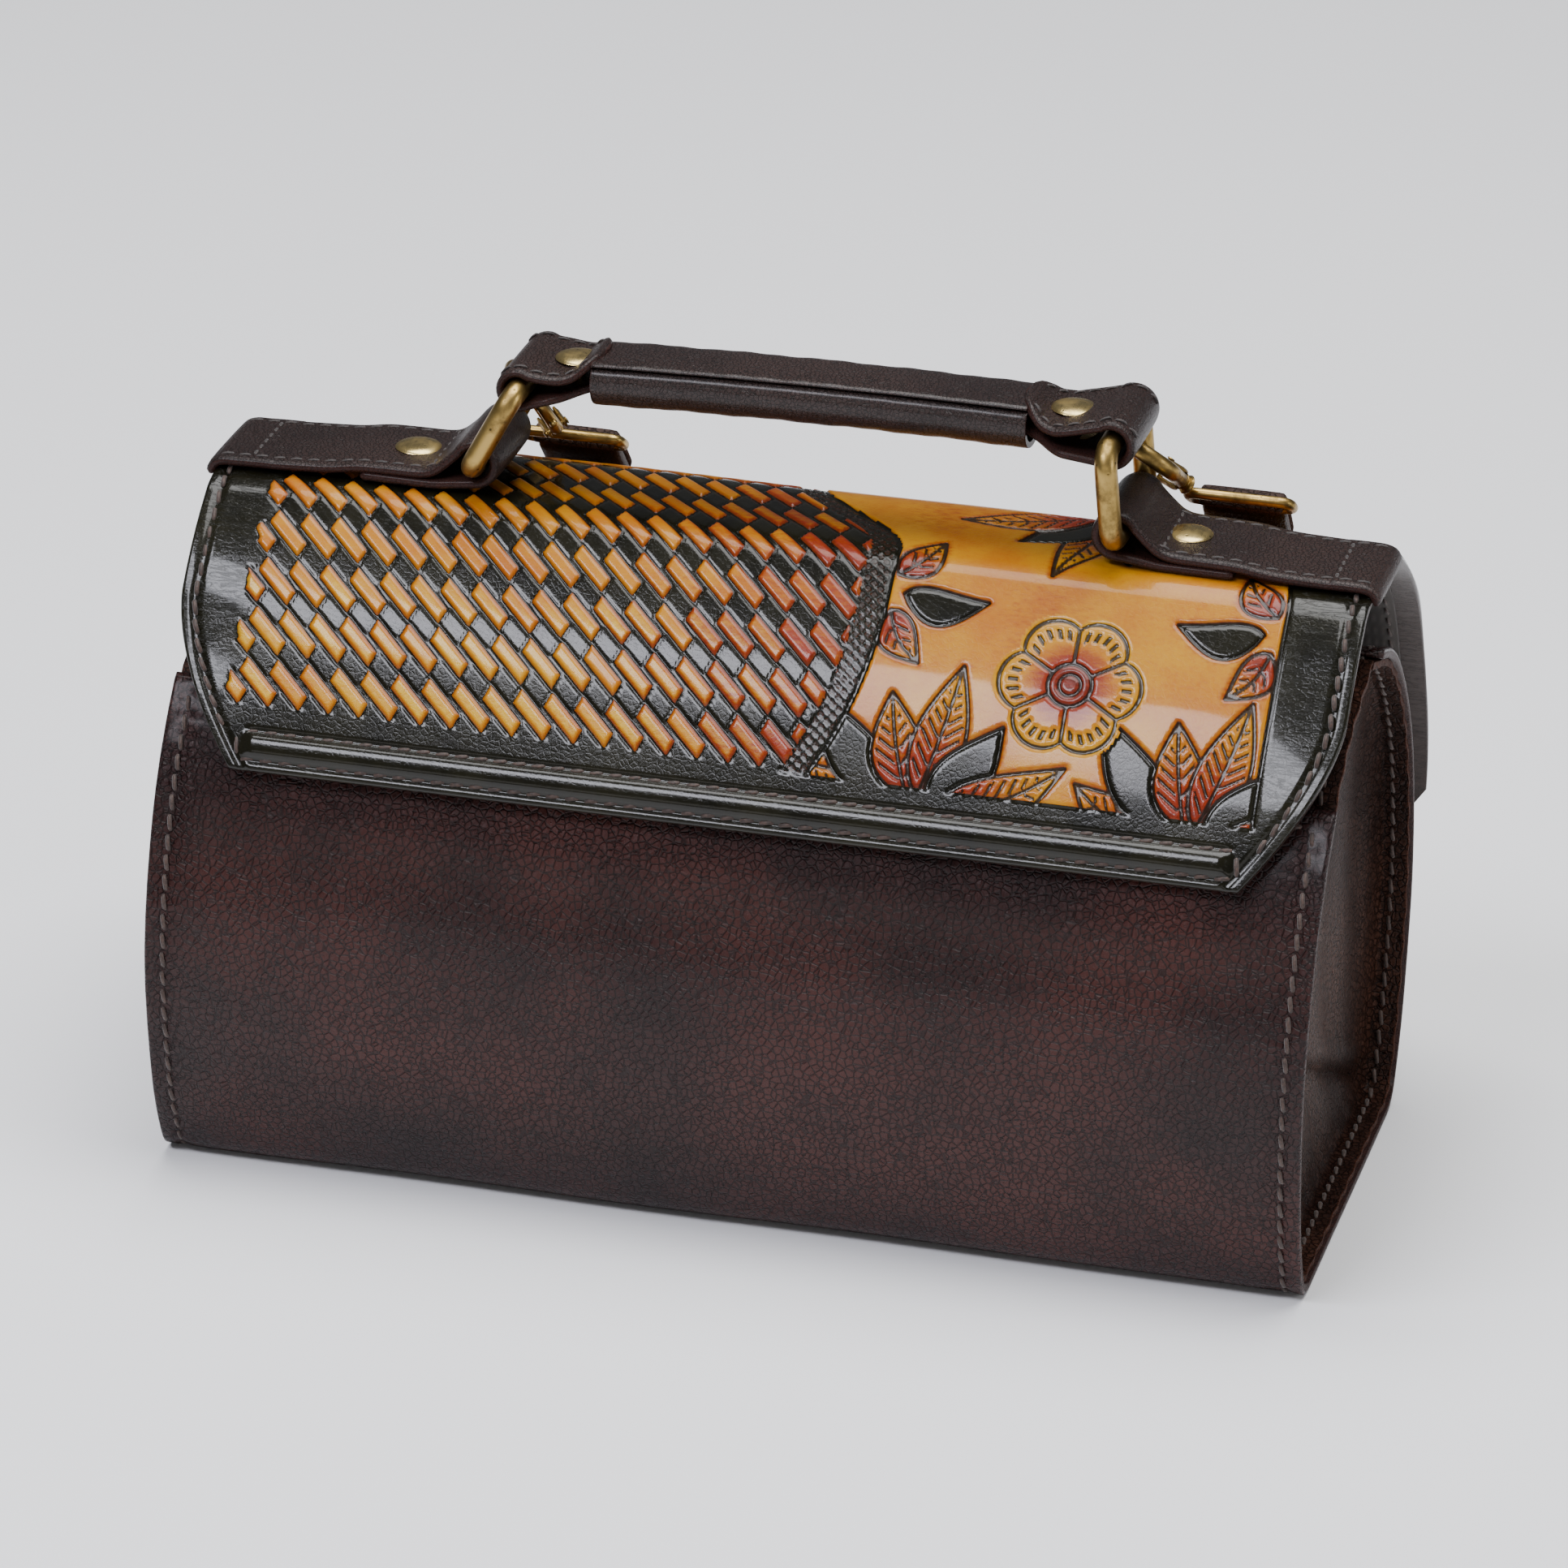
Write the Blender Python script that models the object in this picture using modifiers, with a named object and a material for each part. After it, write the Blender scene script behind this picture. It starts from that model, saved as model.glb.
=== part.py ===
"""A small barrel-shaped leather bag with a one-piece flap cover, a top handle on two rings and a clip-on
shoulder strap.

Metres, +Z up. The bag stands on Z = 0, its length runs along X, and the flap opens at the front, -Y.
Cross-sections are given as (Y, Z) points in millimetres and drawn out along X.
"""

import math

import bmesh
import bpy
from mathutils import Matrix, Vector

MM = 0.001
GAP = 0.3 * MM

# Body
LENGTH = 250 * MM
WRAP_THICK = 2.0 * MM
GUSSET_THICK = 1.5 * MM
LINING_THICK = 0.7 * MM
# Back half of the barrel's section, from the flat base to the top of the arch.
BARREL = [(44, 0), (48, 1.5), (51.5, 5.5), (57, 20), (60.5, 43), (59.5, 61), (54.8, 79), (48, 93),
          (37, 107), (22, 119), (0, 127)]
FRONT_MOUTH_Y = -36 * MM
BACK_MOUTH_Y = 10 * MM
# The end panel's surface: (distance in from the bag's end, size of its outline).
GUSSET_DISH = [(0.7, 1.0), (5.5, 1.0), (7.0, 0.975), (8.6, 0.9), (10.6, 0.72), (12.0, 0.4)]
BOARD_SIZE = (216 * MM, 80 * MM, 3 * MM)

# Cover: its outer surface from the fold at the ridge, backwards and forwards.
COVER_THICK = 2.0 * MM
COVER_LINING_THICK = 0.8 * MM
COVER_BACK = [(-13.2, 141.8), (-9.5, 143), (13, 143), (19, 141.6), (28, 137.2), (40, 129.3), (51, 118),
              (61, 102), (68, 87), (72, 73), (71.3, 60), (67, 49.5), (62.9, 41.5)]
COVER_FRONT = [(-13.7, 141.4), (-17, 138.9), (-24, 132.3), (-33, 122.6), (-43, 108.7), (-53, 93.5)]
CORNER_INSET = 17 * MM
BACK_CORNER_Z = 66 * MM
FRONT_CORNER_Z = 118 * MM
LINING_INSET = 5 * MM
STIFFENER_WIDTH = 7 * MM

# Magnets under the flap
MAGNET_RADIUS = 6 * MM
MAGNET_THICK = 1.2 * MM
MAGNET_X = 60 * MM
MAGNET_POINT = (-43 * MM, 108.7 * MM)

# Straps, rings and handle
STRAP_Y = 3 * MM
STRAP_WIDTH = 25 * MM
STRAP_THICK = 4 * MM
RIDGE_Z = 143 * MM
WIRE = 2.4 * MM
RING_PITCH = 20 * MM
RING_HALF_WIDTH = 16.5 * MM
RING_CORNER = 4 * MM
RING_FOOT_Z = 150 * MM
RINGS = {"left": (-67.5 * MM, 28.0), "right": (71 * MM, -6.0)}
BASE_LOOP_RADIUS = 6.3 * MM
BASE_LOOP_HOLE = 3.2 * MM
HANDLE_LOOP = {"left": (4.7 * MM, 3.0 * MM), "right": (5.3 * MM, 3.7 * MM)}
HANDLE_Z = 169.3 * MM
HANDLE_THICK = 4.2 * MM
HANDLE_ARCH = 1.2 * MM
HANDLE_END_DROP = 0.5 * MM
HANDLE_RISE = 1.2 * MM
GRIP_X = (-43 * MM, 50 * MM)
GRIP_SIZE = (17 * MM, 11 * MM)
GRIP_CENTRE_DROP = 0.9 * MM
WAIST_WIDTH = 12.4 * MM
CORE_THICK = 2.4 * MM

# Double-cap rivets
CAP_RADIUS = 5 * MM
CAP_HEIGHT = 1.2 * MM
SHANK_RADIUS = 1.5 * MM
RIVET_HOLE = 1.8 * MM
BASE_RIVET_X = {"left": -83.5 * MM, "right": 84 * MM}
HANDLE_RIVET_X = {"left": -48.2 * MM, "right": 58.7 * MM}

# Snap hooks: where the hook's ring is round the back leg of each handle ring, and where its shank points.
HOOK_RADIUS = 7.3 * MM
HOOK_WIRE = 1.8 * MM
GATE_WIRE = 1.4 * MM
PIN_RADIUS = 0.6 * MM
HOOK_HEIGHT = 7.6 * MM
HOOK_LEG_OFFSET = 1.2 * MM
HOOK_SHANK = 14.0 * MM
HOOK_NOSE_ANGLE = 150
GATE_END_ANGLE = 124
HOOK_POINTS = {"left": ((0.20, 0.62, -0.76), -1), "right": ((0.62, 0.48, -0.62), 1)}

# Shoulder strap
BELT_WIDTH = 18 * MM
BELT_THICK = 2.6 * MM
BELT_X = {"left": -58 * MM, "right": 89 * MM}
BELT_STAND_OFF = 2.4 * MM
BELT_SETTLING = 11 * MM
EYE_WIRE = 1.2 * MM
EYE_DEPTH = 6.5 * MM
ROLL_CENTRE = (16 * MM, 138 * MM)
ROLL_RADIUS = 35.6 * MM
ROLL_HOLE = 3 * MM
EDGE_Z = 9.4 * MM
# The run from the back of the cover to the roll: (x, y, z) of its centre and how far it has turned onto its
# edge, from 0, lying flat, to 1.
BELT_FLOOR = {
    "left": [(-58, 77.6, 58, 0), (-58, 79.5, 34, 0), (-58, 82, 16, 0), (-58, 88.5, 5.2, 0), (-58, 98, 5.0, 0.2),
             (-56.5, 112, 8.9, 0.65), (-51, 133, 9.4, 1), (-38, 152, 9.4, 1), (-19, 165, 9.4, 1),
             (-7, 168.6, 9.4, 1)],
    "right": [(89, 77.6, 58, 0), (89, 79.5, 34, 0), (89, 82, 16, 0), (89, 88, 5.4, 0), (88.5, 95, 5.6, 0.25),
              (86, 104, 9.2, 0.7), (78, 112, 9.4, 1), (66, 113.5, 9.4, 1), (52, 109.5, 9.4, 1),
              (40, 106, 9.4, 1)],
}

COLOURS = {
    "body_leather": ((0.040, 0.021, 0.021), 0.32, 0.0),
    "gusset_leather": ((0.075, 0.045, 0.038), 0.45, 0.0),
    "cover_leather": ((0.040, 0.041, 0.028), 0.22, 0.0),
    "strap_leather": ((0.052, 0.030, 0.026), 0.42, 0.0),
    "lining": ((0.020, 0.018, 0.016), 0.8, 0.0),
    "board": ((0.20, 0.15, 0.10), 0.9, 0.0),
    "brass": ((0.42, 0.30, 0.09), 0.35, 1.0),
    "magnet": ((0.55, 0.55, 0.55), 0.3, 1.0),
}

for old in list(bpy.data.objects):
    bpy.data.objects.remove(old, do_unlink=True)


def collection(name):
    made = bpy.data.collections.new(name)
    bpy.context.scene.collection.children.link(made)
    return made


PARTS = collection("barrel_bag")
CUTTERS = collection("cutters")


def material(name):
    found = bpy.data.materials.get(name)
    if found:
        return found
    colour, rough, metal = COLOURS[name]
    made = bpy.data.materials.new(name)
    made.use_nodes = True
    shader = made.node_tree.nodes["Principled BSDF"]
    shader.inputs["Base Color"].default_value = (*colour, 1)
    shader.inputs["Roughness"].default_value = rough
    shader.inputs["Metallic"].default_value = metal
    return made


def put(name, data, slot):
    """A new part of that name, or a cutter where slot is None."""
    made = bpy.data.objects.new(name, data)
    if slot is None:
        CUTTERS.objects.link(made)
        made.hide_render = True
        made.display_type = "WIRE"
    else:
        PARTS.objects.link(made)
        data.materials.append(material(slot))
    return made


def boolean(part, cutter, operation="DIFFERENCE"):
    modifier = part.modifiers.new(cutter.name, "BOOLEAN")
    modifier.object = cutter
    modifier.operation = operation


# Outlines ------------------------------------------------------------------------------------------------


def metres(points):
    return [(a * MM, b * MM) for a, b in points]


def smooth(points, steps):
    """A Catmull-Rom curve through 2D or 3D points, with that many steps between each two."""
    points = [Vector(p) for p in points]
    ends = [2 * points[0] - points[1]] + points + [2 * points[-1] - points[-2]]
    line = []
    for a, b, c, d in zip(ends, ends[1:], ends[2:], ends[3:]):
        for k in range(steps):
            t = k / steps
            line.append(0.5 * (2 * b + (c - a) * t + (2 * a - 5 * b + 4 * c - d) * t * t
                               + (3 * b - a - 3 * c + d) * t ** 3))
    return line + [points[-1]]


def offset(line, distance, closed=False):
    """The line moved sideways: to the right of its direction for a positive distance."""
    moved = []
    for i, point in enumerate(line):
        before = line[i - 1] if i or closed else point
        after = line[(i + 1) % len(line)] if i + 1 < len(line) or closed else point
        along = (after - before).normalized()
        moved.append(point + Vector((along.y, -along.x)) * distance)
    return moved


def barrel_half():
    return smooth(metres(BARREL), 2)


def mirrored(line):
    return [Vector((-p.x, p.y)) for p in line]


def barrel_ring():
    """The whole section as a closed line, counter-clockwise from the back bottom corner."""
    half = barrel_half()
    return half + mirrored(half)[-2::-1]


def wrap_line():
    """The outer skin's section, from its front edge down, under the base and up to its back edge."""
    half = barrel_half()
    front = [p for p in mirrored(half) if p.x < FRONT_MOUTH_Y or p.y < 60 * MM]
    back = [p for p in half if p.x > BACK_MOUTH_Y or p.y < 60 * MM]
    return front[::-1] + back


def extruded(name, outline, low, high, slot, plane="YZ", holes=()):
    """A flat outline drawn out along the axis that its plane leaves, from low to high."""
    curve = bpy.data.curves.new(name, "CURVE")
    curve.dimensions = "2D"
    curve.fill_mode = "BOTH"
    curve.extrude = (high - low) / 2
    for loop in (outline, *holes):
        spline = curve.splines.new("POLY")
        spline.points.add(len(loop) - 1)
        for point, (a, b) in zip(spline.points, loop):
            point.co = (a, b, 0, 1)
        spline.use_cyclic_u = True
    made = put(name, curve, slot)
    middle = (high + low) / 2
    turns = {
        "YZ": Matrix(((0, 0, 1, middle), (1, 0, 0, 0), (0, 1, 0, 0), (0, 0, 0, 1))),
        "XZ": Matrix(((1, 0, 0, 0), (0, 0, -1, middle), (0, 1, 0, 0), (0, 0, 0, 1))),
        "XY": Matrix(((1, 0, 0, 0), (0, 1, 0, 0), (0, 0, 1, middle), (0, 0, 0, 1))),
    }
    made.matrix_world = turns[plane]
    return made


def as_mesh(part):
    """The part's curve turned into a mesh with its caps welded, so that it can be cut or joined."""
    bpy.context.view_layer.update()
    mesh = bpy.data.meshes.new_from_object(part.evaluated_get(bpy.context.evaluated_depsgraph_get()))
    shell = bmesh.new()
    shell.from_mesh(mesh)
    bmesh.ops.remove_doubles(shell, verts=shell.verts, dist=0.01 * MM)
    shell.to_mesh(mesh)
    shell.free()
    name, place, home = part.name, part.matrix_world.copy(), part.users_collection[0]
    wire = part.display_type == "WIRE"
    bpy.data.objects.remove(part, do_unlink=True)
    made = bpy.data.objects.new(name, mesh)
    made.matrix_world = place
    home.objects.link(made)
    if wire:
        made.hide_render = True
        made.display_type = "WIRE"
    return made


def skin(name, rows, slot, thickness):
    """A sheet through rows of points, thickened both ways with Solidify."""
    shell = bmesh.new()
    made_rows = [[shell.verts.new(p) for p in row] for row in rows]
    for low, high in zip(made_rows, made_rows[1:]):
        for k in range(len(low) - 1):
            shell.faces.new((low[k], low[k + 1], high[k + 1], high[k]))
    mesh = bpy.data.meshes.new(name)
    shell.to_mesh(mesh)
    shell.free()
    made = put(name, mesh, slot)
    solid = made.modifiers.new("thickness", "SOLIDIFY")
    solid.thickness = thickness
    solid.offset = 0
    solid.use_even_offset = True
    return made


def cylinder(name, radius, depth, place, slot=None, axis=(0, 0, 1), segments=24):
    shell = bmesh.new()
    bmesh.ops.create_cone(shell, cap_ends=True, segments=segments, radius1=radius, radius2=radius, depth=depth)
    mesh = bpy.data.meshes.new(name)
    shell.to_mesh(mesh)
    shell.free()
    made = put(name, mesh, slot)
    made.location = place
    made.rotation_mode = "QUATERNION"
    made.rotation_quaternion = Vector((0, 0, 1)).rotation_difference(Vector(axis))
    return made


def box(name, low, high, slot=None):
    shell = bmesh.new()
    bmesh.ops.create_cube(shell, size=1)
    low, high = Vector(low), Vector(high)
    bmesh.ops.scale(shell, vec=high - low, verts=shell.verts)
    mesh = bpy.data.meshes.new(name)
    shell.to_mesh(mesh)
    shell.free()
    made = put(name, mesh, slot)
    made.location = (low + high) / 2
    return made


def wire(name, points, radius, slot, closed=False, sides=2):
    """A round wire along 3D points, its ends capped."""
    curve = bpy.data.curves.new(name, "CURVE")
    curve.dimensions = "3D"
    curve.bevel_depth = radius
    curve.bevel_resolution = sides
    curve.use_fill_caps = not closed
    curve.render_resolution_u = 0
    spline = curve.splines.new("POLY")
    spline.points.add(len(points) - 1)
    for point, place in zip(spline.points, points):
        point.co = (*place, 1)
    spline.use_cyclic_u = closed
    return put(name, curve, slot)


def rivet(name, place, axis, grip):
    """A double-cap rivet: two domed caps on a shank, with `grip` between them, turned about its axis."""
    profile = []
    for k in range(5):
        turn = math.radians(90 * k / 4)
        profile.append((CAP_RADIUS * math.sin(turn), grip + CAP_HEIGHT * math.cos(turn)))
    profile += [(SHANK_RADIUS, grip), (SHANK_RADIUS, 0)]
    for k in range(4, -1, -1):
        turn = math.radians(90 * k / 4)
        profile.append((CAP_RADIUS * math.sin(turn), -CAP_HEIGHT * math.cos(turn)))
    shell = bmesh.new()
    made_points = [shell.verts.new((x, 0, z)) for x, z in profile]
    for a, b in zip(made_points, made_points[1:]):
        shell.edges.new((a, b))
    mesh = bpy.data.meshes.new(name)
    shell.to_mesh(mesh)
    shell.free()
    made = put(name, mesh, "brass")
    screw = made.modifiers.new("turn", "SCREW")
    screw.steps = 20
    screw.render_steps = 20
    screw.use_merge_vertices = True
    screw.merge_threshold = 0.01 * MM
    made.location = place
    made.rotation_mode = "QUATERNION"
    made.rotation_quaternion = Vector((0, 0, 1)).rotation_difference(Vector(axis))
    return made


# Body ----------------------------------------------------------------------------------------------------


def body():
    outer = wrap_line()
    half_length = LENGTH / 2
    extruded("body_wrap", outer + offset(outer, -WRAP_THICK)[::-1], -half_length, half_length, "body_leather")
    under = WRAP_THICK + GAP
    lining = extruded("body_lining", offset(outer, -under) + offset(outer, -under - LINING_THICK)[::-1],
                      -110 * MM, 110 * MM, "lining")
    length, depth, thick = BOARD_SIZE
    low = under + LINING_THICK + GAP
    board = box("base_board", (-length / 2, -depth / 2, low), (length / 2, depth / 2, low + thick), "board")
    round_off(board, 6 * MM, "VERTICAL")
    return lining


def round_off(part, width, edges="ALL"):
    """Rounds a box's upright edges."""
    shell = bmesh.new()
    shell.from_mesh(part.data)
    upright = [e for e in shell.edges if edges == "ALL" or abs((e.verts[0].co - e.verts[1].co).normalized().z) > 0.9]
    bmesh.ops.bevel(shell, geom=upright, offset=width, segments=4, affect="EDGES", profile=0.5)
    shell.to_mesh(part.data)
    shell.free()


def gusset(side):
    """A dished end panel with its rim turned outwards along the wrap's edge."""
    sign = -1 if side == "left" else 1
    outline = offset(barrel_ring(), -(WRAP_THICK + GAP + GUSSET_THICK / 2), closed=True)
    middle = Vector((0, 62 * MM))
    shell = bmesh.new()
    rings = []
    for depth, size in GUSSET_DISH:
        x = sign * (LENGTH / 2 - depth * MM)
        spots = [middle + (p - middle) * size for p in outline]
        rings.append([shell.verts.new((x, p.x, p.y)) for p in spots])
    for near, far in zip(rings, rings[1:]):
        for k in range(len(near)):
            nxt = (k + 1) % len(near)
            shell.faces.new((near[k], near[nxt], far[nxt], far[k]))
    shell.faces.new(rings[-1])
    mesh = bpy.data.meshes.new("gusset_" + side)
    shell.to_mesh(mesh)
    shell.free()
    made = put("gusset_" + side, mesh, "gusset_leather")
    solid = made.modifiers.new("thickness", "SOLIDIFY")
    solid.thickness = GUSSET_THICK
    solid.offset = 0
    solid.use_even_offset = True


# Cover ---------------------------------------------------------------------------------------------------


def cover_rows(line, corner_z, inset, start=0.0, stop=1.0):
    """Rows across a cover panel: full width down to its corner, then narrowing to its lower edge."""
    lowest = line[-1].y
    rows = []
    for i, point in enumerate(line):
        if not start <= i / (len(line) - 1) <= stop:
            continue
        cut = max(0.0, (corner_z - point.y) / (corner_z - lowest)) * CORNER_INSET
        reach = LENGTH / 2 - inset - cut
        rows.append([(-reach, point.x, point.y), (reach, point.x, point.y)])
    return rows


def cover():
    back = smooth(metres(COVER_BACK), 2)
    front = smooth(metres(COVER_FRONT), 3)
    half = COVER_THICK / 2
    lining_at = COVER_THICK + GAP + COVER_LINING_THICK / 2
    parts = {
        "cover_back": skin("cover_back", cover_rows(offset(back, half), BACK_CORNER_Z, 0), "cover_leather",
                           COVER_THICK),
        "front_flap": skin("front_flap", cover_rows(offset(front, -half), FRONT_CORNER_Z, 0), "cover_leather",
                           COVER_THICK),
        "cover_lining": skin("cover_lining",
                             cover_rows(offset(back, lining_at), BACK_CORNER_Z, LINING_INSET, 0.08, 0.86),
                             "lining", COVER_LINING_THICK),
        "flap_lining": skin("flap_lining",
                            cover_rows(offset(front, -lining_at), FRONT_CORNER_Z, LINING_INSET, 0.13, 0.87),
                            "lining", COVER_LINING_THICK),
    }
    strip = offset(front, -(COVER_THICK + GAP + COVER_LINING_THICK / 2))
    top, bottom = strip[-2], strip[-1]
    down = (bottom - top).normalized()
    low = bottom - down * 1.5 * MM
    high = low - down * STIFFENER_WIDTH * 0.55
    reach = LENGTH / 2 - CORNER_INSET - 8 * MM
    skin("flap_stiffener", [[(-reach, high.x, high.y), (reach, high.x, high.y)],
                            [(-reach, low.x, low.y), (reach, low.x, low.y)]], "board", COVER_LINING_THICK)
    return parts


def magnets(flap_lining, body_lining):
    """Two hidden magnet pairs: one disc of each behind the flap's lining, the other behind the wrap."""
    along = (Vector((-53, 93.5)) - Vector((-33, 122.6))).normalized()
    inward = Vector((-along.y, along.x))
    flap_place = Vector(MAGNET_POINT) + inward * (COVER_THICK + GAP + MAGNET_THICK / 2)
    outer = Vector((-42.5 * MM, 100.6 * MM))
    wrap_inward = Vector((0.786, -0.618))
    body_place = outer + wrap_inward * (WRAP_THICK + GAP + MAGNET_THICK / 2)
    body_lining = as_mesh(body_lining)
    for side, sign in (("left", -1), ("right", 1)):
        for name, place, facing, lining in (("flap_magnet_", flap_place, inward, flap_lining),
                                            ("body_magnet_", body_place, wrap_inward, body_lining)):
            spot = (sign * MAGNET_X, place.x, place.y)
            axis = (0, facing.x, facing.y)
            cylinder(name + side, MAGNET_RADIUS, MAGNET_THICK, spot, "magnet", axis, 20)
            cutter = cylinder(name + side + "_pocket", MAGNET_RADIUS + 2 * GAP, 8 * MM, spot, None, axis, 20)
            boolean(lining, cutter)


# Straps, rings and handle --------------------------------------------------------------------------------


def ring_points(side):
    """The ring's centreline, its foot bar on the ring's own joint axis and its top bar in the handle."""
    foot, lean = RINGS[side]
    lean = math.radians(lean)
    out = Vector((math.sin(lean), 0, math.cos(lean)))
    points = []
    straight = RING_HALF_WIDTH - RING_CORNER
    for cx, cz, first in ((straight, RING_CORNER, -90), (straight, RING_PITCH - RING_CORNER, 0),
                          (-straight, RING_PITCH - RING_CORNER, 90), (-straight, RING_CORNER, 180)):
        for k in range(5):
            turn = math.radians(first + 90 * k / 4)
            across = cx + RING_CORNER * math.cos(turn)
            height = cz + RING_CORNER * math.sin(turn)
            points.append(Vector((foot, STRAP_Y + across, RING_FOOT_Z)) + out * height)
    return points


def handle_loop_centre(side):
    foot, lean = RINGS[side]
    lean = math.radians(lean)
    return Vector((foot + RING_PITCH * math.sin(lean), RING_FOOT_Z + RING_PITCH * math.cos(lean)))


def across_y(name, radius, x, z, slot=None, width=STRAP_WIDTH):
    return cylinder(name, radius, width, (x, STRAP_Y, z), slot, (0, 1, 0), 24)


def base_strap(side):
    """A strap sewn down along the ridge, its inner end turned round the ring's foot bar."""
    foot, _ = RINGS[side]
    sign = -1 if side == "left" else 1
    low = RIDGE_Z + GAP
    ends = sorted((foot, sign * (LENGTH / 2 - 0.5 * MM)))
    half = STRAP_WIDTH / 2
    name = "base_strap_" + side
    strap = box(name, (ends[0], STRAP_Y - half, low), (ends[1], STRAP_Y + half, low + STRAP_THICK),
                "strap_leather")
    boolean(strap, across_y(name + "_loop", BASE_LOOP_RADIUS, foot, RING_FOOT_Z), "UNION")
    boolean(strap, across_y(name + "_hole", BASE_LOOP_HOLE, foot, RING_FOOT_Z, width=2 * STRAP_WIDTH))
    return strap


def handle_height(x):
    """The height of the handle strap's middle, a very low arch between the two loops."""
    left, right = handle_loop_centre("left"), handle_loop_centre("right")
    t = (x - left.x) / (right.x - left.x)
    return HANDLE_Z - HANDLE_END_DROP + t * HANDLE_RISE + HANDLE_ARCH * (1 - (2 * t - 1) ** 2)


def arched_bar(name, x_low, x_high, above, below, width, slot, steps=10):
    """A bar that follows the handle's arch, from `below` under its middle line to `above` over it."""
    spots = [x_low + (x_high - x_low) * k / steps for k in range(steps + 1)]
    top = [(x, handle_height(x) + above) for x in spots]
    bottom = [(x, handle_height(x) - below) for x in reversed(spots)]
    made = extruded(name, bottom[::-1] + top[::-1], STRAP_Y - width / 2, STRAP_Y + width / 2, slot, "XZ")
    return as_mesh(made)


def handle():
    left, right = handle_loop_centre("left"), handle_loop_centre("right")
    half = HANDLE_THICK / 2
    strap = arched_bar("handle_strap", left.x, right.x, half, half, STRAP_WIDTH, "strap_leather")
    for side, centre in (("left", left), ("right", right)):
        outer, hole = HANDLE_LOOP[side]
        boolean(strap, across_y("handle_loop_" + side, outer, centre.x, centre.y), "UNION")
        boolean(strap, across_y("handle_hole_" + side, hole, centre.x, centre.y, width=2 * STRAP_WIDTH))
    for sign in (-1, 1):
        inner = STRAP_Y + sign * WAIST_WIDTH / 2
        outer = STRAP_Y + sign * STRAP_WIDTH
        ends = sorted((inner, outer))
        boolean(strap, box("waist_cut_" + ("front" if sign < 0 else "back"),
                           (GRIP_X[0] - 1 * MM, ends[0], HANDLE_Z - 9 * MM),
                           (GRIP_X[1] + 1 * MM, ends[1], HANDLE_Z + 9 * MM)))
    width, height = GRIP_SIZE
    middle = GRIP_CENTRE_DROP
    grip = arched_bar("handle_grip", *GRIP_X, height / 2 - middle, height / 2 + middle, width, "strap_leather")
    edges = grip.modifiers.new("rounded", "BEVEL")
    edges.width = 3.2 * MM
    edges.segments = 3
    edges.limit_method = "ANGLE"
    edges.angle_limit = math.radians(60)
    inner_top = half + GAP
    inner_low = half + GAP + CORE_THICK + GAP
    boolean(grip, arched_bar("grip_channel", GRIP_X[0] - 5 * MM, GRIP_X[1] + 5 * MM, inner_top, inner_low,
                             WAIST_WIDTH + 2 * GAP, None))
    arched_bar("handle_core", GRIP_X[0] + 3 * MM, GRIP_X[1] - 3 * MM, -half - GAP, half + GAP + CORE_THICK,
               WAIST_WIDTH - 1 * MM, "board")
    return strap


def rivets(base_straps, handle_strap, cover_parts):
    grip = STRAP_THICK + COVER_THICK + COVER_LINING_THICK + 4 * GAP
    low = RIDGE_Z + 2 * GAP + STRAP_THICK - grip
    for side, x in BASE_RIVET_X.items():
        rivet("base_rivet_" + side, (x, STRAP_Y, low), (0, 0, 1), grip)
        for part in (base_straps[side], cover_parts["cover_back"], cover_parts["cover_lining"]):
            boolean(part, cylinder(f"{part.name}_hole_{side}", RIVET_HOLE, 30 * MM, (x, STRAP_Y, RIDGE_Z)))
    grip = HANDLE_THICK + 3 * GAP
    for side, x in HANDLE_RIVET_X.items():
        z = handle_height(x)
        rivet("handle_rivet_" + side, (x, STRAP_Y, z - grip / 2), (0, 0, 1), grip)
        boolean(handle_strap, cylinder("handle_rivet_hole_" + side, RIVET_HOLE, 30 * MM, (x, STRAP_Y, z)))


# Snap hooks and shoulder strap ---------------------------------------------------------------------------


def hook_frame(side):
    """The hook's own place and axes: u along its shank, v across its opening to the gate, n off its flat."""
    foot, lean = RINGS[side]
    lean = math.radians(lean)
    leg = Vector((math.sin(lean), 0, math.cos(lean)))
    direction, gate_side = HOOK_POINTS[side]
    u = Vector(direction).normalized()
    n = (leg - leg.dot(u) * u).normalized()
    v = n.cross(u) * gate_side
    centre = Vector((foot, STRAP_Y + RING_HALF_WIDTH, RING_FOOT_Z)) + leg * HOOK_HEIGHT
    centre += u * HOOK_LEG_OFFSET + v * 0.4 * HOOK_LEG_OFFSET
    return centre, u, v, n


def in_hook(side, points):
    centre, u, v, _ = hook_frame(side)
    return [centre + u * a + v * b for a, b in points]


def gate_ends():
    """The gate's pivot and its free end, across the open side of the hook, along u and v."""
    pivot = (HOOK_RADIUS + 1.1 * MM, 0.6 * HOOK_RADIUS)
    free = math.radians(GATE_END_ANGLE)
    return pivot, (HOOK_RADIUS * math.cos(free), HOOK_RADIUS * math.sin(free))


def hook_box(name, side, low, high):
    """A cutter or a lug that is square to the hook, between two corners given along its u, v and n."""
    centre, u, v, n = hook_frame(side)
    made = box(name, low, high)
    middle = made.location.copy()
    place = centre + u * middle.x + v * middle.y + n * middle.z
    made.matrix_world = Matrix((
        (u.x, v.x, n.x, place.x), (u.y, v.y, n.y, place.y), (u.z, v.z, n.z, place.z), (0, 0, 0, 1)))
    return made


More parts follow.
